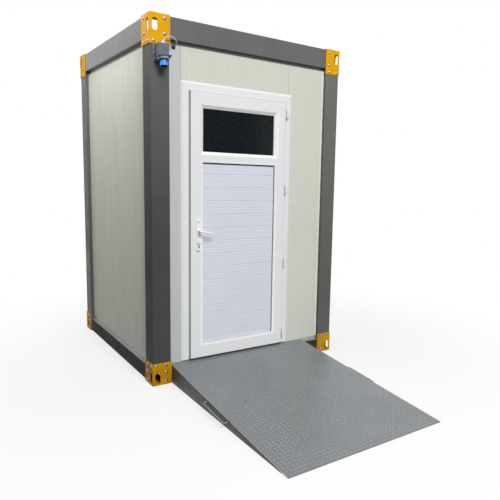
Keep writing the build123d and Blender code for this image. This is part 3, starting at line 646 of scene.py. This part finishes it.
def addGaskets():    # fins round both openings; dark strips over and right of the panel as painted shadow
    bm = bmesh.new()
    for low, high, slope in ((glassLow, glassHigh, "glassSlope"), (panelLow, panelHigh, "panelSlope")):
        inset = leafSet[slope] - leafSet["unitInset"]
        addFin(bm, low, high, inset)
    left, right, top = panelLow.x + inset, panelHigh.x - inset, panelHigh.z - inset
    front, back = panelLow.y - gasketAndShadowSet["proud"], panelLow.y + gasketAndShadowSet["lap"]
    over, beside, edge = pick(gasketAndShadowSet, "over", "beside", "edge")
    # painted shadow: dark strips along the panel's top and right edges
    addBox(bm, (left, front, top - over), (right, back, top), edge)
    addBox(bm, (right - beside, front, panelLow.z + inset), (right, back, top - over), edge)
    addPiece("glazingGasketsAndShadowStrips", bm, "rubber", 20, "door")


def addBead(bm, unitLow, unitHigh, slope, drop, rest=0.0):    # sloped snap-in bead round one opening
    inset, front = leafSet["unitInset"], leafLow.y - beadSet["proud"]
    left, right, low, high = unitLow.x - inset, unitHigh.x + inset, unitLow.z - inset, unitHigh.z + inset
    corners = [(left, low), (right, low), (right, high), (left, high)]
    face = bm.faces.new([bm.verts.new((x, front, z)) for x, z in corners])
    face.normal_update()
    sides = bmesh.ops.inset_individual(bm, faces=[face], thickness=slope, depth=drop * face.normal.y,
                                       use_even_offset=True)["faces"]
    inner = list(face.edges)
    bmesh.ops.delete(bm, geom=[face], context="FACES_ONLY")
    if rest:    # straight return to the glass
        grown = bmesh.ops.extrude_edge_only(bm, edges=inner)["geom"]
        bmesh.ops.translate(bm, vec=alongY * rest, verts=onlyVerts(grown))
        sides += [f for f in grown if isinstance(f, bmesh.types.BMFace)]
    bmesh.ops.recalc_face_normals(bm, faces=sides)
    bmesh.ops.solidify(bm, geom=sides, thickness=beadSet["thick"])


def addBeads():
    glassBead, panelBead = bmesh.new(), bmesh.new()
    deep = glassLow.y - leafLow.y
    drop = deep * beadSet["glassShare"]
    slope = leafSet["glassSlope"] - beadSet["glassLess"]
    addBead(glassBead, glassLow, glassHigh, slope, drop, deep - drop)
    inset = leafSet["unitInset"]
    edge, front = glassHigh.x + inset, leafLow.y - beadSet["thick"]    # flat cover beside it, hinge side
    far = (edge + beadSet["hingeCover"], leafLow.y, glassHigh.z + inset)
    addBox(glassBead, (edge, front, glassLow.z - inset), far, beadSet["coverEdge"], 1)
    addBead(panelBead, panelLow, panelHigh, leafSet["panelSlope"], beadSet["panelDrop"])
    addPiece("glassBeads", glassBead, "litBeadWhite", 20, "door")
    addPiece("panelBeads", panelBead, "litGripWhite", 20, "door")


def addSeals():    # lips in the gap between the frame and the leaf, and a strip under the leaf; the grey lips and the black strip are seals and also painted shade of these gaps
    gap, clear, edge = pick(sealSet, "gap", "clear", "edge")
    front, back = leafLow.y + sealSet["front"], leafLow.y + sealSet["back"]
    left, right, top = leafLow.x - gap, leafHigh.x + gap, leafHigh.z + gap
    sides, head, foot = (bmesh.new() for _ in range(3))
    addBox(sides, (left, front, leafLow.z), (leafLow.x - clear, back, top), edge)
    addBox(sides, (leafHigh.x + clear, front, leafLow.z), (right, back, top), edge)
    headLow = (leafLow.x, leafLow.y + sealSet["headFront"], leafHigh.z + sealSet["headClear"])
    addBox(head, headLow, (leafHigh.x, back, top), edge)
    inset, seat = sealSet["footInset"], leafLow.y + sealSet["footFront"]
    footLow = (leafLow.x + inset, seat, leafLow.z - sealSet["footDrop"])
    addBox(foot, footLow, (leafHigh.x - inset, seat + sealSet["footDeep"], leafLow.z), edge)
    addPiece("frameSealsAndShade", sides, "sealAndShadeGrey", 20)
    addPiece("headSeal", head, "weldLine", 20)
    addPiece("leafFootSealAndShade", foot, "rubber", 20, "door")


def addLine(bm, first, last, half=weldSet["half"]):    # fine raised line on a face that looks forward
    way = (last - first).normalized()
    side = way.cross(alongY) * half
    addPrism(bm, [first - side, last - side, last + side, first + side], -alongY * weldSet["proud"])


def addWeldLines():
    leafLines, frameLines = bmesh.new(), bmesh.new()
    stile, start = leafSet["stile"], weldSet["start"]
    for x, inward in ((leafLow.x, stile), (leafHigh.x, -stile)):
        for z, inZ in ((leafHigh.z, -leafSet["topRail"]), (leafLow.z, leafSet["bottomRail"])):
            outer = vec(x + inward * start, leafLow.y, z + inZ * start)
            addLine(leafLines, outer, vec(x + inward, leafLow.y, z + inZ))
    for x, inward in ((frameLow.x, 1), (frameHigh.x, -1)):
        outer = vec(x + inward * weldSet["frameIn"], frameLow.y, frameHigh.z - weldSet["frameDrop"])
        inner = vec(x + inward * leafSet["jambFace"], frameLow.y, frameHigh.z - leafSet["headFace"])
        addLine(frameLines, outer, inner)
    edge, end = leafHigh.x - weldSet["rebateIn"], weldSet["rebateEnd"]    # rebate line down the hinge side
    foot, top = (vec(edge, leafLow.y, z) for z in (leafLow.z + end, leafHigh.z - end))
    addLine(leafLines, foot, top, weldSet["rebateHalf"])
    addPiece("sashWeldLines", leafLines, "weldLine", 20, "door")
    addPiece("frameWeldLines", frameLines, "weldLine", 20)


addInfill()
addBeads()
addGaskets()
addSeals()
addWeldLines()
print("door leaf dressed")


# door hinges: smooth knuckles with caps and screws

hingeSet = {"radius": 0.01, "fixed": 0.045, "gap": 0.001, "moving": 0.054, "pin": 0.004, "engage": 0.03,
            "wing": 0.03, "wingThick": 0.005, "screwIn": 0.022, "leafWing": 0.026, "leafWingThick": 0.0032,
            "count": 4}


def addFixedHinge(bm, screws, foot):
    radius, tall, thick, pin = pick(hingeSet, "radius", "fixed", "wingThick", "pin")
    foil = [(0, 0.0016), (0.0044, 0.0016), (0.0048, 0), (0.0088, 0.0002), (radius, 0.0016),
            (radius, tall - 0.0008), (radius - 0.0008, tall), (pin, tall), (pin, tall + 0.004)]
    spinProfile(bm, foil, foot, alongZ, 24)
    face = frameLow.y
    addBox(bm, (foot.x + radius - thick, foot.y, foot.z), (foot.x + radius, face, foot.z + tall), 0.001)
    addBox(bm, (foot.x, face - thick, foot.z), (foot.x + hingeSet["wing"], face, foot.z + tall), 0.0015)
    for share in (0.25, 0.75):
        spot = vec(foot.x + hingeSet["screwIn"], face - thick, foot.z + tall * share)
        stamp(screws, screwMesh, facing(spot, -alongY))


def addMovingHinge(bm, foot):
    radius, tall, pin = pick(hingeSet, "radius", "moving", "pin")
    bore = pin + 0.0004
    cap = [(0, 0.006), (bore, 0.006), (bore, 0), (radius - 0.0008, 0), (radius, 0.0008),
           (radius, tall - 0.0035), (0.0092, tall - 0.0016), (0.0068, tall - 0.0003), (0, tall)]
    spinProfile(bm, cap, foot, alongZ, 24)
    wingLow = (foot.x - hingeSet["leafWing"], leafLow.y - hingeSet["leafWingThick"], foot.z + 0.002)
    addBox(bm, wingLow, (foot.x, leafLow.y, foot.z + tall - 0.004), 0.0012)


def addHinges():
    axis = pivots["door_swing"]
    low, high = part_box("frame_hinges")
    joint = hingeSet["fixed"] + hingeSet["gap"]
    pitch = (high.z - low.z - joint - hingeSet["engage"]) / (hingeSet["count"] - 1)
    fixed, moving, screws = (bmesh.new() for _ in range(3))
    for i in range(hingeSet["count"]):
        foot = vec(axis.x, axis.y, low.z + i * pitch)
        addFixedHinge(fixed, screws, foot)
        addMovingHinge(moving, foot + alongZ * joint)
    addPiece("frameKnuckles", fixed, "whiteProfile", 35, replaces=["frame_hinges"])
    addPiece("leafKnuckles", moving, "whiteProfile", 35, "door", replaces=["door_hinges"])
    addPiece("frameHingeScrews", screws, "whiteProfile", 40)


addHinges()
print("hinges set")


# handles: levers, roses, screws and lock face, with dark painted shade

leverSet = {"droop": 12, "neck": 0.0092, "thick": 0.013, "half": 0.0105}
leverSteps = [    # distance along the grip, share of its height, share of its thickness
    (-0.0105, 0.3, 0.25), (-0.0095, 0.62, 0.6), (-0.006, 0.9, 0.92), (0.0, 1.0, 1.0), (0.012, 0.9, 1.0),
    (0.03, 0.74, 0.97), (0.065, 0.66, 0.9), (0.095, 0.66, 0.86), (0.104, 0.62, 0.8), (0.108, 0.48, 0.6),
    (0.1096, 0.2, 0.25),
]
handleSet = {"rose": 0.0145, "roseThick": 0.003, "screwDrops": (0.02, 0.13), "lockDrop": 0.0975,
             "proud": 0.004, "slotDeep": 0.0004, "lip": 0.005, "shadowStripThick": 0.0015, "shadowStripEdge": 0.0006}
lockProfiles = {    # (radius, height) pairs about the lock's axis
    # painted shade: a flat dark ring round the lock
    "recess": [(0.0086, 0), (0.0086, 0.0005), (0.012, 0.0005), (0.012, 0)],
    "ring": [(0.0118, 0), (0.0118, 0.0012), (0.0126, 0.0018), (0.0146, 0.0018),
             (0.0156, 0.0008), (0.0156, 0)],
    "face": [(0.0062, 0), (0.0062, 0.0007), (0.0056, 0.0011), (0, 0.0011)],
}
lockSlots = [    # drop below the axis, proud of the face, half width, reach down, reach up
    # the keyway, then a wider dark slot below it as painted shade of the lock's lower leg
    (0.0, 0.0012, 0.0012, 0.0042, 0.0046), (0.02, 0.0, 0.005, 0.0084, 0.008),
]


def addLever(name, node, outward):
    low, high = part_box(node)
    pivot = pivots["lever_turn"]
    outer = low.y if outward.y < 0 else high.y
    hubEnd = leafLow.y if outward.y < 0 else leafHigh.y
    half, neck = leverSet["thick"] / 2, leverSet["neck"]
    gripY = outer - outward.y * half
    droop = radians(leverSet["droop"])
    ahead = vec(cos(droop), 0, -sin(droop))
    reach = abs(gripY - hubEnd)
    bm = bmesh.new()
    profile = [(0, 0.0005), (neck + 0.0004, 0.0005), (neck + 0.0004, 0.01), (neck, 0.014),
               (neck * 0.88, reach * 0.55), (neck * 0.95, reach - 0.004), (neck, reach),
               (neck * 0.86, reach + 0.0042), (neck * 0.5, reach + 0.006), (0, reach + 0.0064)]
    spinProfile(bm, profile, vec(pivot.x, hubEnd, pivot.z), outward, 24)
    middle = vec(pivot.x, gripY, pivot.z)
    tall = leverSet["half"]
    rings = [station(middle + ahead * t, ahead, alongY, half * d, tall * h) for t, h, d in leverSteps]
    sweepRings(bm, rings, 20)
    addPiece(name, bm, "litGripWhite", 40, "lever", replaces=[node])


def addHandleTrim(name, plate, outward):    # rose, screws and lock face on one plate, with dark painted shade round the lock, below it and under the plate
    low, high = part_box(plate)
    face = low.y if outward.y < 0 else high.y
    pivot = pivots["lever_turn"]
    rose, holes, shadowStripBox = (bmesh.new() for _ in range(3))
    wide, thick = handleSet["rose"], handleSet["roseThick"]
    profile = [(0.01, 0), (0.01, thick), (wide - 0.0016, thick), (wide, thick - 0.0016), (wide, 0)]
    spinProfile(rose, profile, vec(pivot.x, face, pivot.z), outward, 28)
    for drop in handleSet["screwDrops"]:
        spot = vec(pivot.x, face, high.z - drop)
        stamp(holes, screwMesh, facing(spot, outward))
    lock = vec(pivot.x, face, pivot.z - handleSet["lockDrop"])
    spinProfile(holes, lockProfiles["recess"], lock, outward, 28)
    spinProfile(rose, lockProfiles["ring"], lock, outward, 28)
    front, deep = lock + outward * handleSet["proud"], handleSet["slotDeep"]
    for drop, proud, half, down, up in lockSlots:
        middle = front + outward * proud - alongZ * drop
        addBox(holes, middle - vec(half, deep, down), middle + vec(half, deep, up))
    # painted shadow: a dark strip under the plate's lower end
    lip, back = handleSet["lip"], face - outward.y * (high.y - low.y)
    near, far = sorted((back, back + outward.y * handleSet["shadowStripThick"]))
    shadowStripLow = (low.x + lip, near, low.z - lip)
    addBox(shadowStripBox, shadowStripLow, (high.x - lip, far, low.z + lip), handleSet["shadowStripEdge"])
    addPiece(f"{name}Rose", rose, "litGripWhite", 40, "door")
    addTurned(f"{name}Metal", lockProfiles["face"], front, outward, 24, "lockMetal", 40, "door")
    addPiece(f"{name}Dark", holes, "darkScrewsAndShade", 30, "door")
    addPiece(f"{name}ShadowStrip", shadowStripBox, "darkScrewsAndShade", 30, "door")


addLever("outsideGrip", "outside_lever", -alongY)
addLever("insideGrip", "inside_lever", alongY)
addHandleTrim("outsideHandle", "outside_plate", -alongY)
addHandleTrim("insideHandle", "inside_plate", alongY)
print("handles dressed")


# power inlet: flange, ring, collar with pins, glands, fixings

inletSet = {"seat": (-0.745, -0.202364, 2.309), "tilt": 15, "flange": (0.088, 0.096, 0.01), "ring": 0.042,
            "ringTall": 0.012, "root": 0.024, "mouth": 0.027, "collarTall": 0.044, "wall": 0.0035,
            "socket": 0.034, "gasket": 0.034, "pinRing": 0.0125, "screwIn": 0.007}
earSet = {"reach": 0.014, "thick": 0.004, "tall": 0.078, "lap": 0.001, "edge": 0.0012, "screwOut": 0.0075,
          "screwDrops": (0.007, 0.06), "plugIn": 0.041, "plugDrop": 0.04}
glandSet = {"lean": 25, "tall": 0.0203, "slack": 0.0003, "blank": (0.025, 0.012, 0)}


def inletTurn():    # local Z points down out of the seat
    tilt = radians(inletSet["tilt"])
    down = vec(0, -sin(tilt), -cos(tilt))
    turn = Matrix((alongX, down.cross(alongX), down)).transposed().to_4x4()
    return Matrix.Translation(inletSet["seat"]) @ turn


def addInletBase(turn, seat, down):
    wide, long, thick = inletSet["flange"]
    flange, screws = bmesh.new(), bmesh.new()
    addBox(flange, (-wide / 2, -long / 2, 0), (wide / 2, long / 2, thick), 0.0035, 3, turn)
    radius, tall, inset = pick(inletSet, "ring", "ringTall", "screwIn")
    ring = [(0.012, thick), (radius - 0.002, thick), (radius, thick + 0.002), (radius, thick + tall * 0.55),
            (radius - 0.003, thick + tall * 0.75), (radius - 0.005, thick + tall), (0.012, thick + tall)]
    base, lip = thick + tall, inletSet["gasket"]
    gasket = [(lip, base - 0.001), (lip, base + 0.0035), (lip - 0.003, base + 0.005), (0.02, base + 0.005)]
    for x in (-1, 1):
        for y in (-1, 1):
            corner = vec(x * (wide / 2 - inset), y * (long / 2 - inset), thick)
            stamp(screws, screwMesh, turn @ Matrix.Translation(corner))
    addPiece("inletFlangePlate", flange, "inletDarkBlue", 40, replaces=["inlet_flange"])
    addTurned("inletRingCast", ring, seat, down, 40, "inletRing", 35)
    addTurned("inletGasket", gasket, seat, down, 36, "rubber", 35)
    addPiece("inletFlangeScrews", screws, "boltZinc", 40)


def addInletCollar(turn, seat, down):
    base = inletSet["flange"][2] + inletSet["ringTall"]
    top = base + inletSet["collarTall"]
    root, mouth, wall = inletSet["root"], inletSet["mouth"], inletSet["wall"]
    bottom = top - inletSet["socket"]
    flare = [(0.01, base), (root, base), (root + 0.001, base + 0.015), (root + 0.0022, base + 0.03),
             (mouth, top - 0.006), (mouth, top - 0.001), (mouth - 0.001, top), (mouth - wall + 0.0008, top),
             (mouth - wall, top - 0.001), (mouth - wall, bottom), (0.01, bottom)]
    inner, floor = mouth - wall - 0.0003, bottom + 0.001
    liner = [(inner, top - 0.003), (inner - 0.001, top - 0.003), (inner - 0.001, floor), (0, floor)]
    pin = [(0.0028, bottom), (0.0028, bottom + 0.019), (0.0018, bottom + 0.022), (0, bottom + 0.0226)]
    pins = bmesh.new()
    for angle in (90, 210, 330):
        out = Matrix.Rotation(radians(angle), 3, "Z") @ (alongX * inletSet["pinRing"])
        spinProfile(pins, pin, turn @ out, down, 14)
    addTurned("inletCollarShell", flare, seat, down, 40, "inletBrightBlue", 35,
              replaces=["inlet_collar"])
    addTurned("inletLiner", liner, seat, down, 32, "rubber", 35)
    addPiece("inletPins", pins, "lockMetal", 40)


def addInletFixings():    # ear with two bright screws, front plug
    low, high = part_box("inlet_housing")
    reach, thick, tall, lap = pick(earSet, "reach", "thick", "tall", "lap")
    ear, screws = bmesh.new(), bmesh.new()
    earLow = (low.x - reach, high.y - thick, high.z - tall)
    addBox(ear, earLow, (low.x + lap, high.y, high.z - lap), earSet["edge"])
    for drop in earSet["screwDrops"]:
        spot = vec(low.x - earSet["screwOut"], high.y - thick, high.z - drop)
        stamp(screws, screwMesh, facing(spot, -alongY))
    hole = vec(low.x + earSet["plugIn"], low.y, high.z - earSet["plugDrop"])
    plugShape = [(0.0045, 0), (0.0045, 0.0006), (0, 0.0006)]
    addPiece("inletEar", ear, "inletGrey", 35)
    addPiece("inletEarScrews", screws, "boltZinc", 40)
    addTurned("inletPlug", plugShape, hole, -alongY, 16, "rubber", 40)


def addGlands():    # nut and tapered relief on the housing, a blank gland, a ring at the wall
    start = Vector(lead["start"])
    lean = radians(glandSet["lean"])
    ahead = vec(sin(lean), 0, cos(lean))
    foot = start - ahead * glandSet["tall"]
    snug = lead["diameter"] / 2 + glandSet["slack"]
    bm = bmesh.new()
    nut = [(0, -0.004), (0.0105, -0.004), (0.0105, 0.0075), (0.0098, 0.0085), (0, 0.0085)]
    spinProfile(bm, nut, foot, ahead, 6)
    relief = [(0.0086, 0.008), (0.0086, 0.014), (0.0078, 0.0185), (snug + 0.0008, 0.0262), (snug, 0.0265),
              (snug, 0.02)]
    spinProfile(bm, relief, foot, ahead, 24)
    blank = foot + Vector(glandSet["blank"])
    spinProfile(bm, [(0.009, -0.002), (0.009, 0.004), (0.0082, 0.005), (0, 0.005)], blank, alongZ, 6)
    spinProfile(bm, [(0.0064, 0.004), (0.0064, 0.01), (0.005, 0.0125), (0, 0.013)], blank, alongZ, 20)
    end = start + Vector(leadRoute[-1])
    outer = vec(end.x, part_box("front_wall_left")[0].y, end.z)
    collar = [(snug, 0), (snug, 0.0125), (snug + 0.0008, 0.0132), (0.0105, 0.0105), (0.0122, 0.006),
              (0.0138, 0.005), (0.0138, 0)]
    addTurned("leadWallRing", collar, outer, -alongY, 24, "rubber", 35)
    addPiece("glandBodies", bm, "glandPlastic", 35, replaces=["cable_glands"])


def addInlet():
    turn = inletTurn()
    seat, down = turn.translation, (turn.to_3x3() @ alongZ)
    addInletBase(turn, seat, down)
    addInletCollar(turn, seat, down)
    addInletFixings()
    addGlands()


addInlet()
print("power inlet dressed")


# ramp: raised lugs on the plate, cut edges lightened partly as painted highlight, smooth grab bars

rampLugs = {"pitch": 0.03, "length": 0.0255, "width": 0.0075, "height": 0.0013, "margin": 0.016,
            "plateThick": 0.005}
cutEdges = {"proud": 0.0003, "wide": 0.0015, "tall": 0.0035, "foot": 0.004, "top": 0.002, "edge": 0.0004}
grabSet = {"radius": 0.006, "bend": 0.016, "steps": 6}


def rampTurn():    # local X across, local Y up the slope, local Z out of the plate
    low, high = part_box("ramp_plate")
    foot = vec(low.x, low.y, low.z + rampLugs["plateThick"])
    slope = vec(0, high.y, high.z) - vec(0, foot.y, foot.z)
    up = slope.normalized()
    turn = Matrix((alongX, up, alongX.cross(up))).transposed().to_4x4()
    return Matrix.Translation(foot) @ turn, high.x - low.x, slope.length


def buildLug(bm):    # half of a stretched ball
    bmesh.ops.create_uvsphere(bm, u_segments=10, v_segments=6, radius=1)
    everything = bm.verts[:] + bm.edges[:] + bm.faces[:]
    bmesh.ops.bisect_plane(bm, geom=everything, plane_co=(0, 0, 0), plane_no=(0, 0, 1), clear_inner=True)
    size = (rampLugs["length"] / 2, rampLugs["width"] / 2, rampLugs["height"])
    bmesh.ops.scale(bm, vec=size, verts=bm.verts)


def addLugs():
    turn, width, length = rampTurn()
    lug = templateMesh(buildLug)
    pitch, margin = rampLugs["pitch"], rampLugs["margin"]
    rows, columns = int((length - 2 * margin) / pitch), int((width - 2 * margin) / pitch)
    sideGap, endGap = (width - columns * pitch) / 2, (length - rows * pitch) / 2
    bm = bmesh.new()
    for row in range(rows + 1):
        for column in range(columns + 1):
            spot = Matrix.Translation((sideGap + column * pitch, endGap + row * pitch, 0))
            lean = radians(45 if (row + column) % 2 else -45)
            stamp(bm, lug, turn @ spot @ Matrix.Rotation(lean, 4, "Z"))
    addPiece("rampLugs", bm, "rampLugPaint", 60, normals=False)
    print("ramp lugs:", (rows + 1) * (columns + 1))


def addCutEdges():    # sheared edges of the plate in bare metal, lightened partly as painted highlight
    turn, width, length = rampTurn()
    bm = bmesh.new()
    proud, wide, tall, foot, top = pick(cutEdges, "proud", "wide", "tall", "foot", "top")
    for x in (-proud, width + proud - wide):
        addBox(bm, (x, foot, -tall), (x + wide, length - top, proud), cutEdges["edge"], 1, turn)
    addPiece("rampCutEdges", bm, "litCutEdge", 30)


def addGrab(name, node, outward):
    low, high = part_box(node)
    up = rampTurn()[0].to_3x3() @ alongY
    radius, bend, steps = grabSet["radius"], grabSet["bend"], grabSet["steps"]
    root = high.x if outward.x < 0 else low.x
    reach = high.x - low.x - radius
    near = vec(root, high.y - radius, high.z - radius)
    far = near - up * ((high.y - low.y - 2 * radius) / up.y)
    corners = [(near + outward * reach, outward, -up), (far + outward * reach, -up, -outward)]
    rings = [station(near, outward, alongZ, radius, radius)]
    for corner, into, away in corners:
        centre = corner + (away - into) * bend
        for i in range(steps + 1):
            angle = pi / 2 * i / steps
            spot = centre + (into * sin(angle) - away * cos(angle)) * bend
            way = into * cos(angle) + away * sin(angle)
            rings.append(station(spot, way, alongZ, radius, radius))
    rings.append(station(far, -outward, alongZ, radius, radius))
    bm = bmesh.new()
    sweepRings(bm, rings, 14)
    addPiece(name, bm, "rampPaint", 40, replaces=[node])


addLugs()
addCutEdges()
addGrab("grabBarLeft", "ramp_grab_left", -alongX)
addGrab("grabBarRight", "ramp_grab_right", alongX)
print("ramp dressed")


# screws along the sill flashings and the roof ribs

sheetScrews = {"perWall": 6, "drop": 0.012, "flashing": 0.0015}
roofScrews = {"ribs": 5, "first": 0.16, "pitch": 0.33, "perRib": 6, "end": 0.06}


def addSheetScrews():
    bm = bmesh.new()
    z, count, lap = wallFoot - sheetScrews["drop"], sheetScrews["perWall"], sheetScrews["flashing"]
    leftLow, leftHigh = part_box("left_wall")
    backLow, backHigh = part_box("back_wall")
    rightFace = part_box("right_wall")[1].x + lap
    for i in range(count):
        y = leftLow.y + (leftHigh.y - leftLow.y) * (i + 0.5) / count
        x = backLow.x + (backHigh.x - backLow.x) * (i + 0.5) / count
        stamp(bm, screwMesh, facing(vec(leftLow.x - lap, y, z), -alongX))
        stamp(bm, screwMesh, facing(vec(rightFace, y, z), alongX))
        stamp(bm, screwMesh, facing(vec(x, backHigh.y + lap, z), alongY))
    roofLow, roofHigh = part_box("roof_panel")
    run = roofHigh.y - roofLow.y - 2 * roofScrews["end"]
    for rib in range(roofScrews["ribs"]):
        x = cabinLow.x + roofScrews["first"] + rib * roofScrews["pitch"]
        for i in range(roofScrews["perRib"]):
            y = roofLow.y + roofScrews["end"] + run * i / (roofScrews["perRib"] - 1)
            stamp(bm, screwMesh, facing(vec(x, y, roofHigh.z), alongZ))
    addPiece("sheetScrews", bm, "boltZinc", 40)


addSheetScrews()
print("fixings set")


# stage, light and background

stageSet = {"radius": 16.0, "floorColor": (0.86, 0.86, 0.855), "bounceColor": (0.2, 0.2, 0.197),
            "drop": 0.0005, "fadeFrom": 0.9, "fadeTo": 3.4, "pale": 0.6, "ambient": 0.28, "backAmbient": 1.7,
            "backWay": (0.8, 0.6, 0), "backFrom": 0.45}
lamps = {    # place, aim, width and height, power
    "frontSoft": ((-1.6, -11.6, 10.0), (0.2, 0.0, 1.3), (7.0, 7.0), 1900),
    "leftHigh": ((-1.65, 0.7, 3.25), (-0.8, 0.7, 2.4), (2.0, 0.5), 23),
}


def seenFlag(tree):    # 1 for what the camera, a gloss or a glass sees
    path = addNode(tree, "LightPath").outputs
    glossy = combine(tree, "MAXIMUM", path["Is Glossy Ray"], path["Is Transmission Ray"])
    return combine(tree, "MAXIMUM", path["Is Camera Ray"], glossy)


def addFloor():
    bm = bmesh.new()
    bmesh.ops.create_circle(bm, cap_ends=True, segments=96, radius=stageSet["radius"])
    mesh = bpy.data.meshes.new("floor")
    bm.to_mesh(mesh)
    bm.free()
    material = bpy.data.materials.new("paleFloor")
    material.use_nodes = True
    tree = material.node_tree
    tree.nodes.remove(tree.nodes["Principled BSDF"])
    seen = seenFlag(tree)
    tone = mixColor(tree, seen, stageSet["bounceColor"], stageSet["floorColor"])
    matt = addNode(tree, "BsdfDiffuse", Color=tone)
    glow = addNode(tree, "Emission", Color=(1, 1, 1, 1), Strength=1.0)
    away = addNode(tree, "VectorMath", {"operation": "LENGTH"}, Vector=place(tree)).outputs["Value"]
    outwards = spread(tree, away, stageSet["fadeFrom"], stageSet["fadeTo"], stageSet["pale"], 1.0)
    fade = combine(tree, "MULTIPLY", outwards, seen)
    both = addNode(tree, "MixShader")
    tree.links.new(fade, both.inputs[0])
    tree.links.new(matt.outputs[0], both.inputs[1])
    tree.links.new(glow.outputs[0], both.inputs[2])
    tree.links.new(both.outputs[0], tree.nodes["Material Output"].inputs["Surface"])
    mesh.materials.append(material)
    floor = newObject("floor", mesh)
    floor.location.z = -stageSet["drop"]


def addWorld():
    world = bpy.data.worlds.new("studio")
    bpy.context.scene.world = world
    world.use_nodes = True
    tree = world.node_tree
    sky = tree.nodes["Background"]
    plug(tree, sky, "Color", (1, 1, 1, 1))
    way = addNode(tree, "VectorMath", {"operation": "DOT_PRODUCT"})
    tree.links.new(addNode(tree, "TexCoord").outputs["Generated"], way.inputs[0])
    way.inputs[1].default_value = stageSet["backWay"]
    ambient, backAmbient = stageSet["ambient"], stageSet["backAmbient"]
    soft = spread(tree, way.outputs["Value"], stageSet["backFrom"], 1.0, ambient, backAmbient)
    plug(tree, sky, "Strength", spread(tree, seenFlag(tree), 0.0, 1.0, soft, 1.0))


def addLamps():
    for name, (spot, aim, size, power) in lamps.items():
        data = bpy.data.lights.new(name, "AREA")
        data.shape = "ELLIPSE"
        data.size, data.size_y = size
        data.energy = power
        lamp = newObject(name, data)
        lamp.matrix_world = facing(Vector(spot), Vector(spot) - Vector(aim))
    

addFloor()
addWorld()
addLamps()
bpy.context.scene.view_settings.view_transform = "Standard"
print("stage and light set")
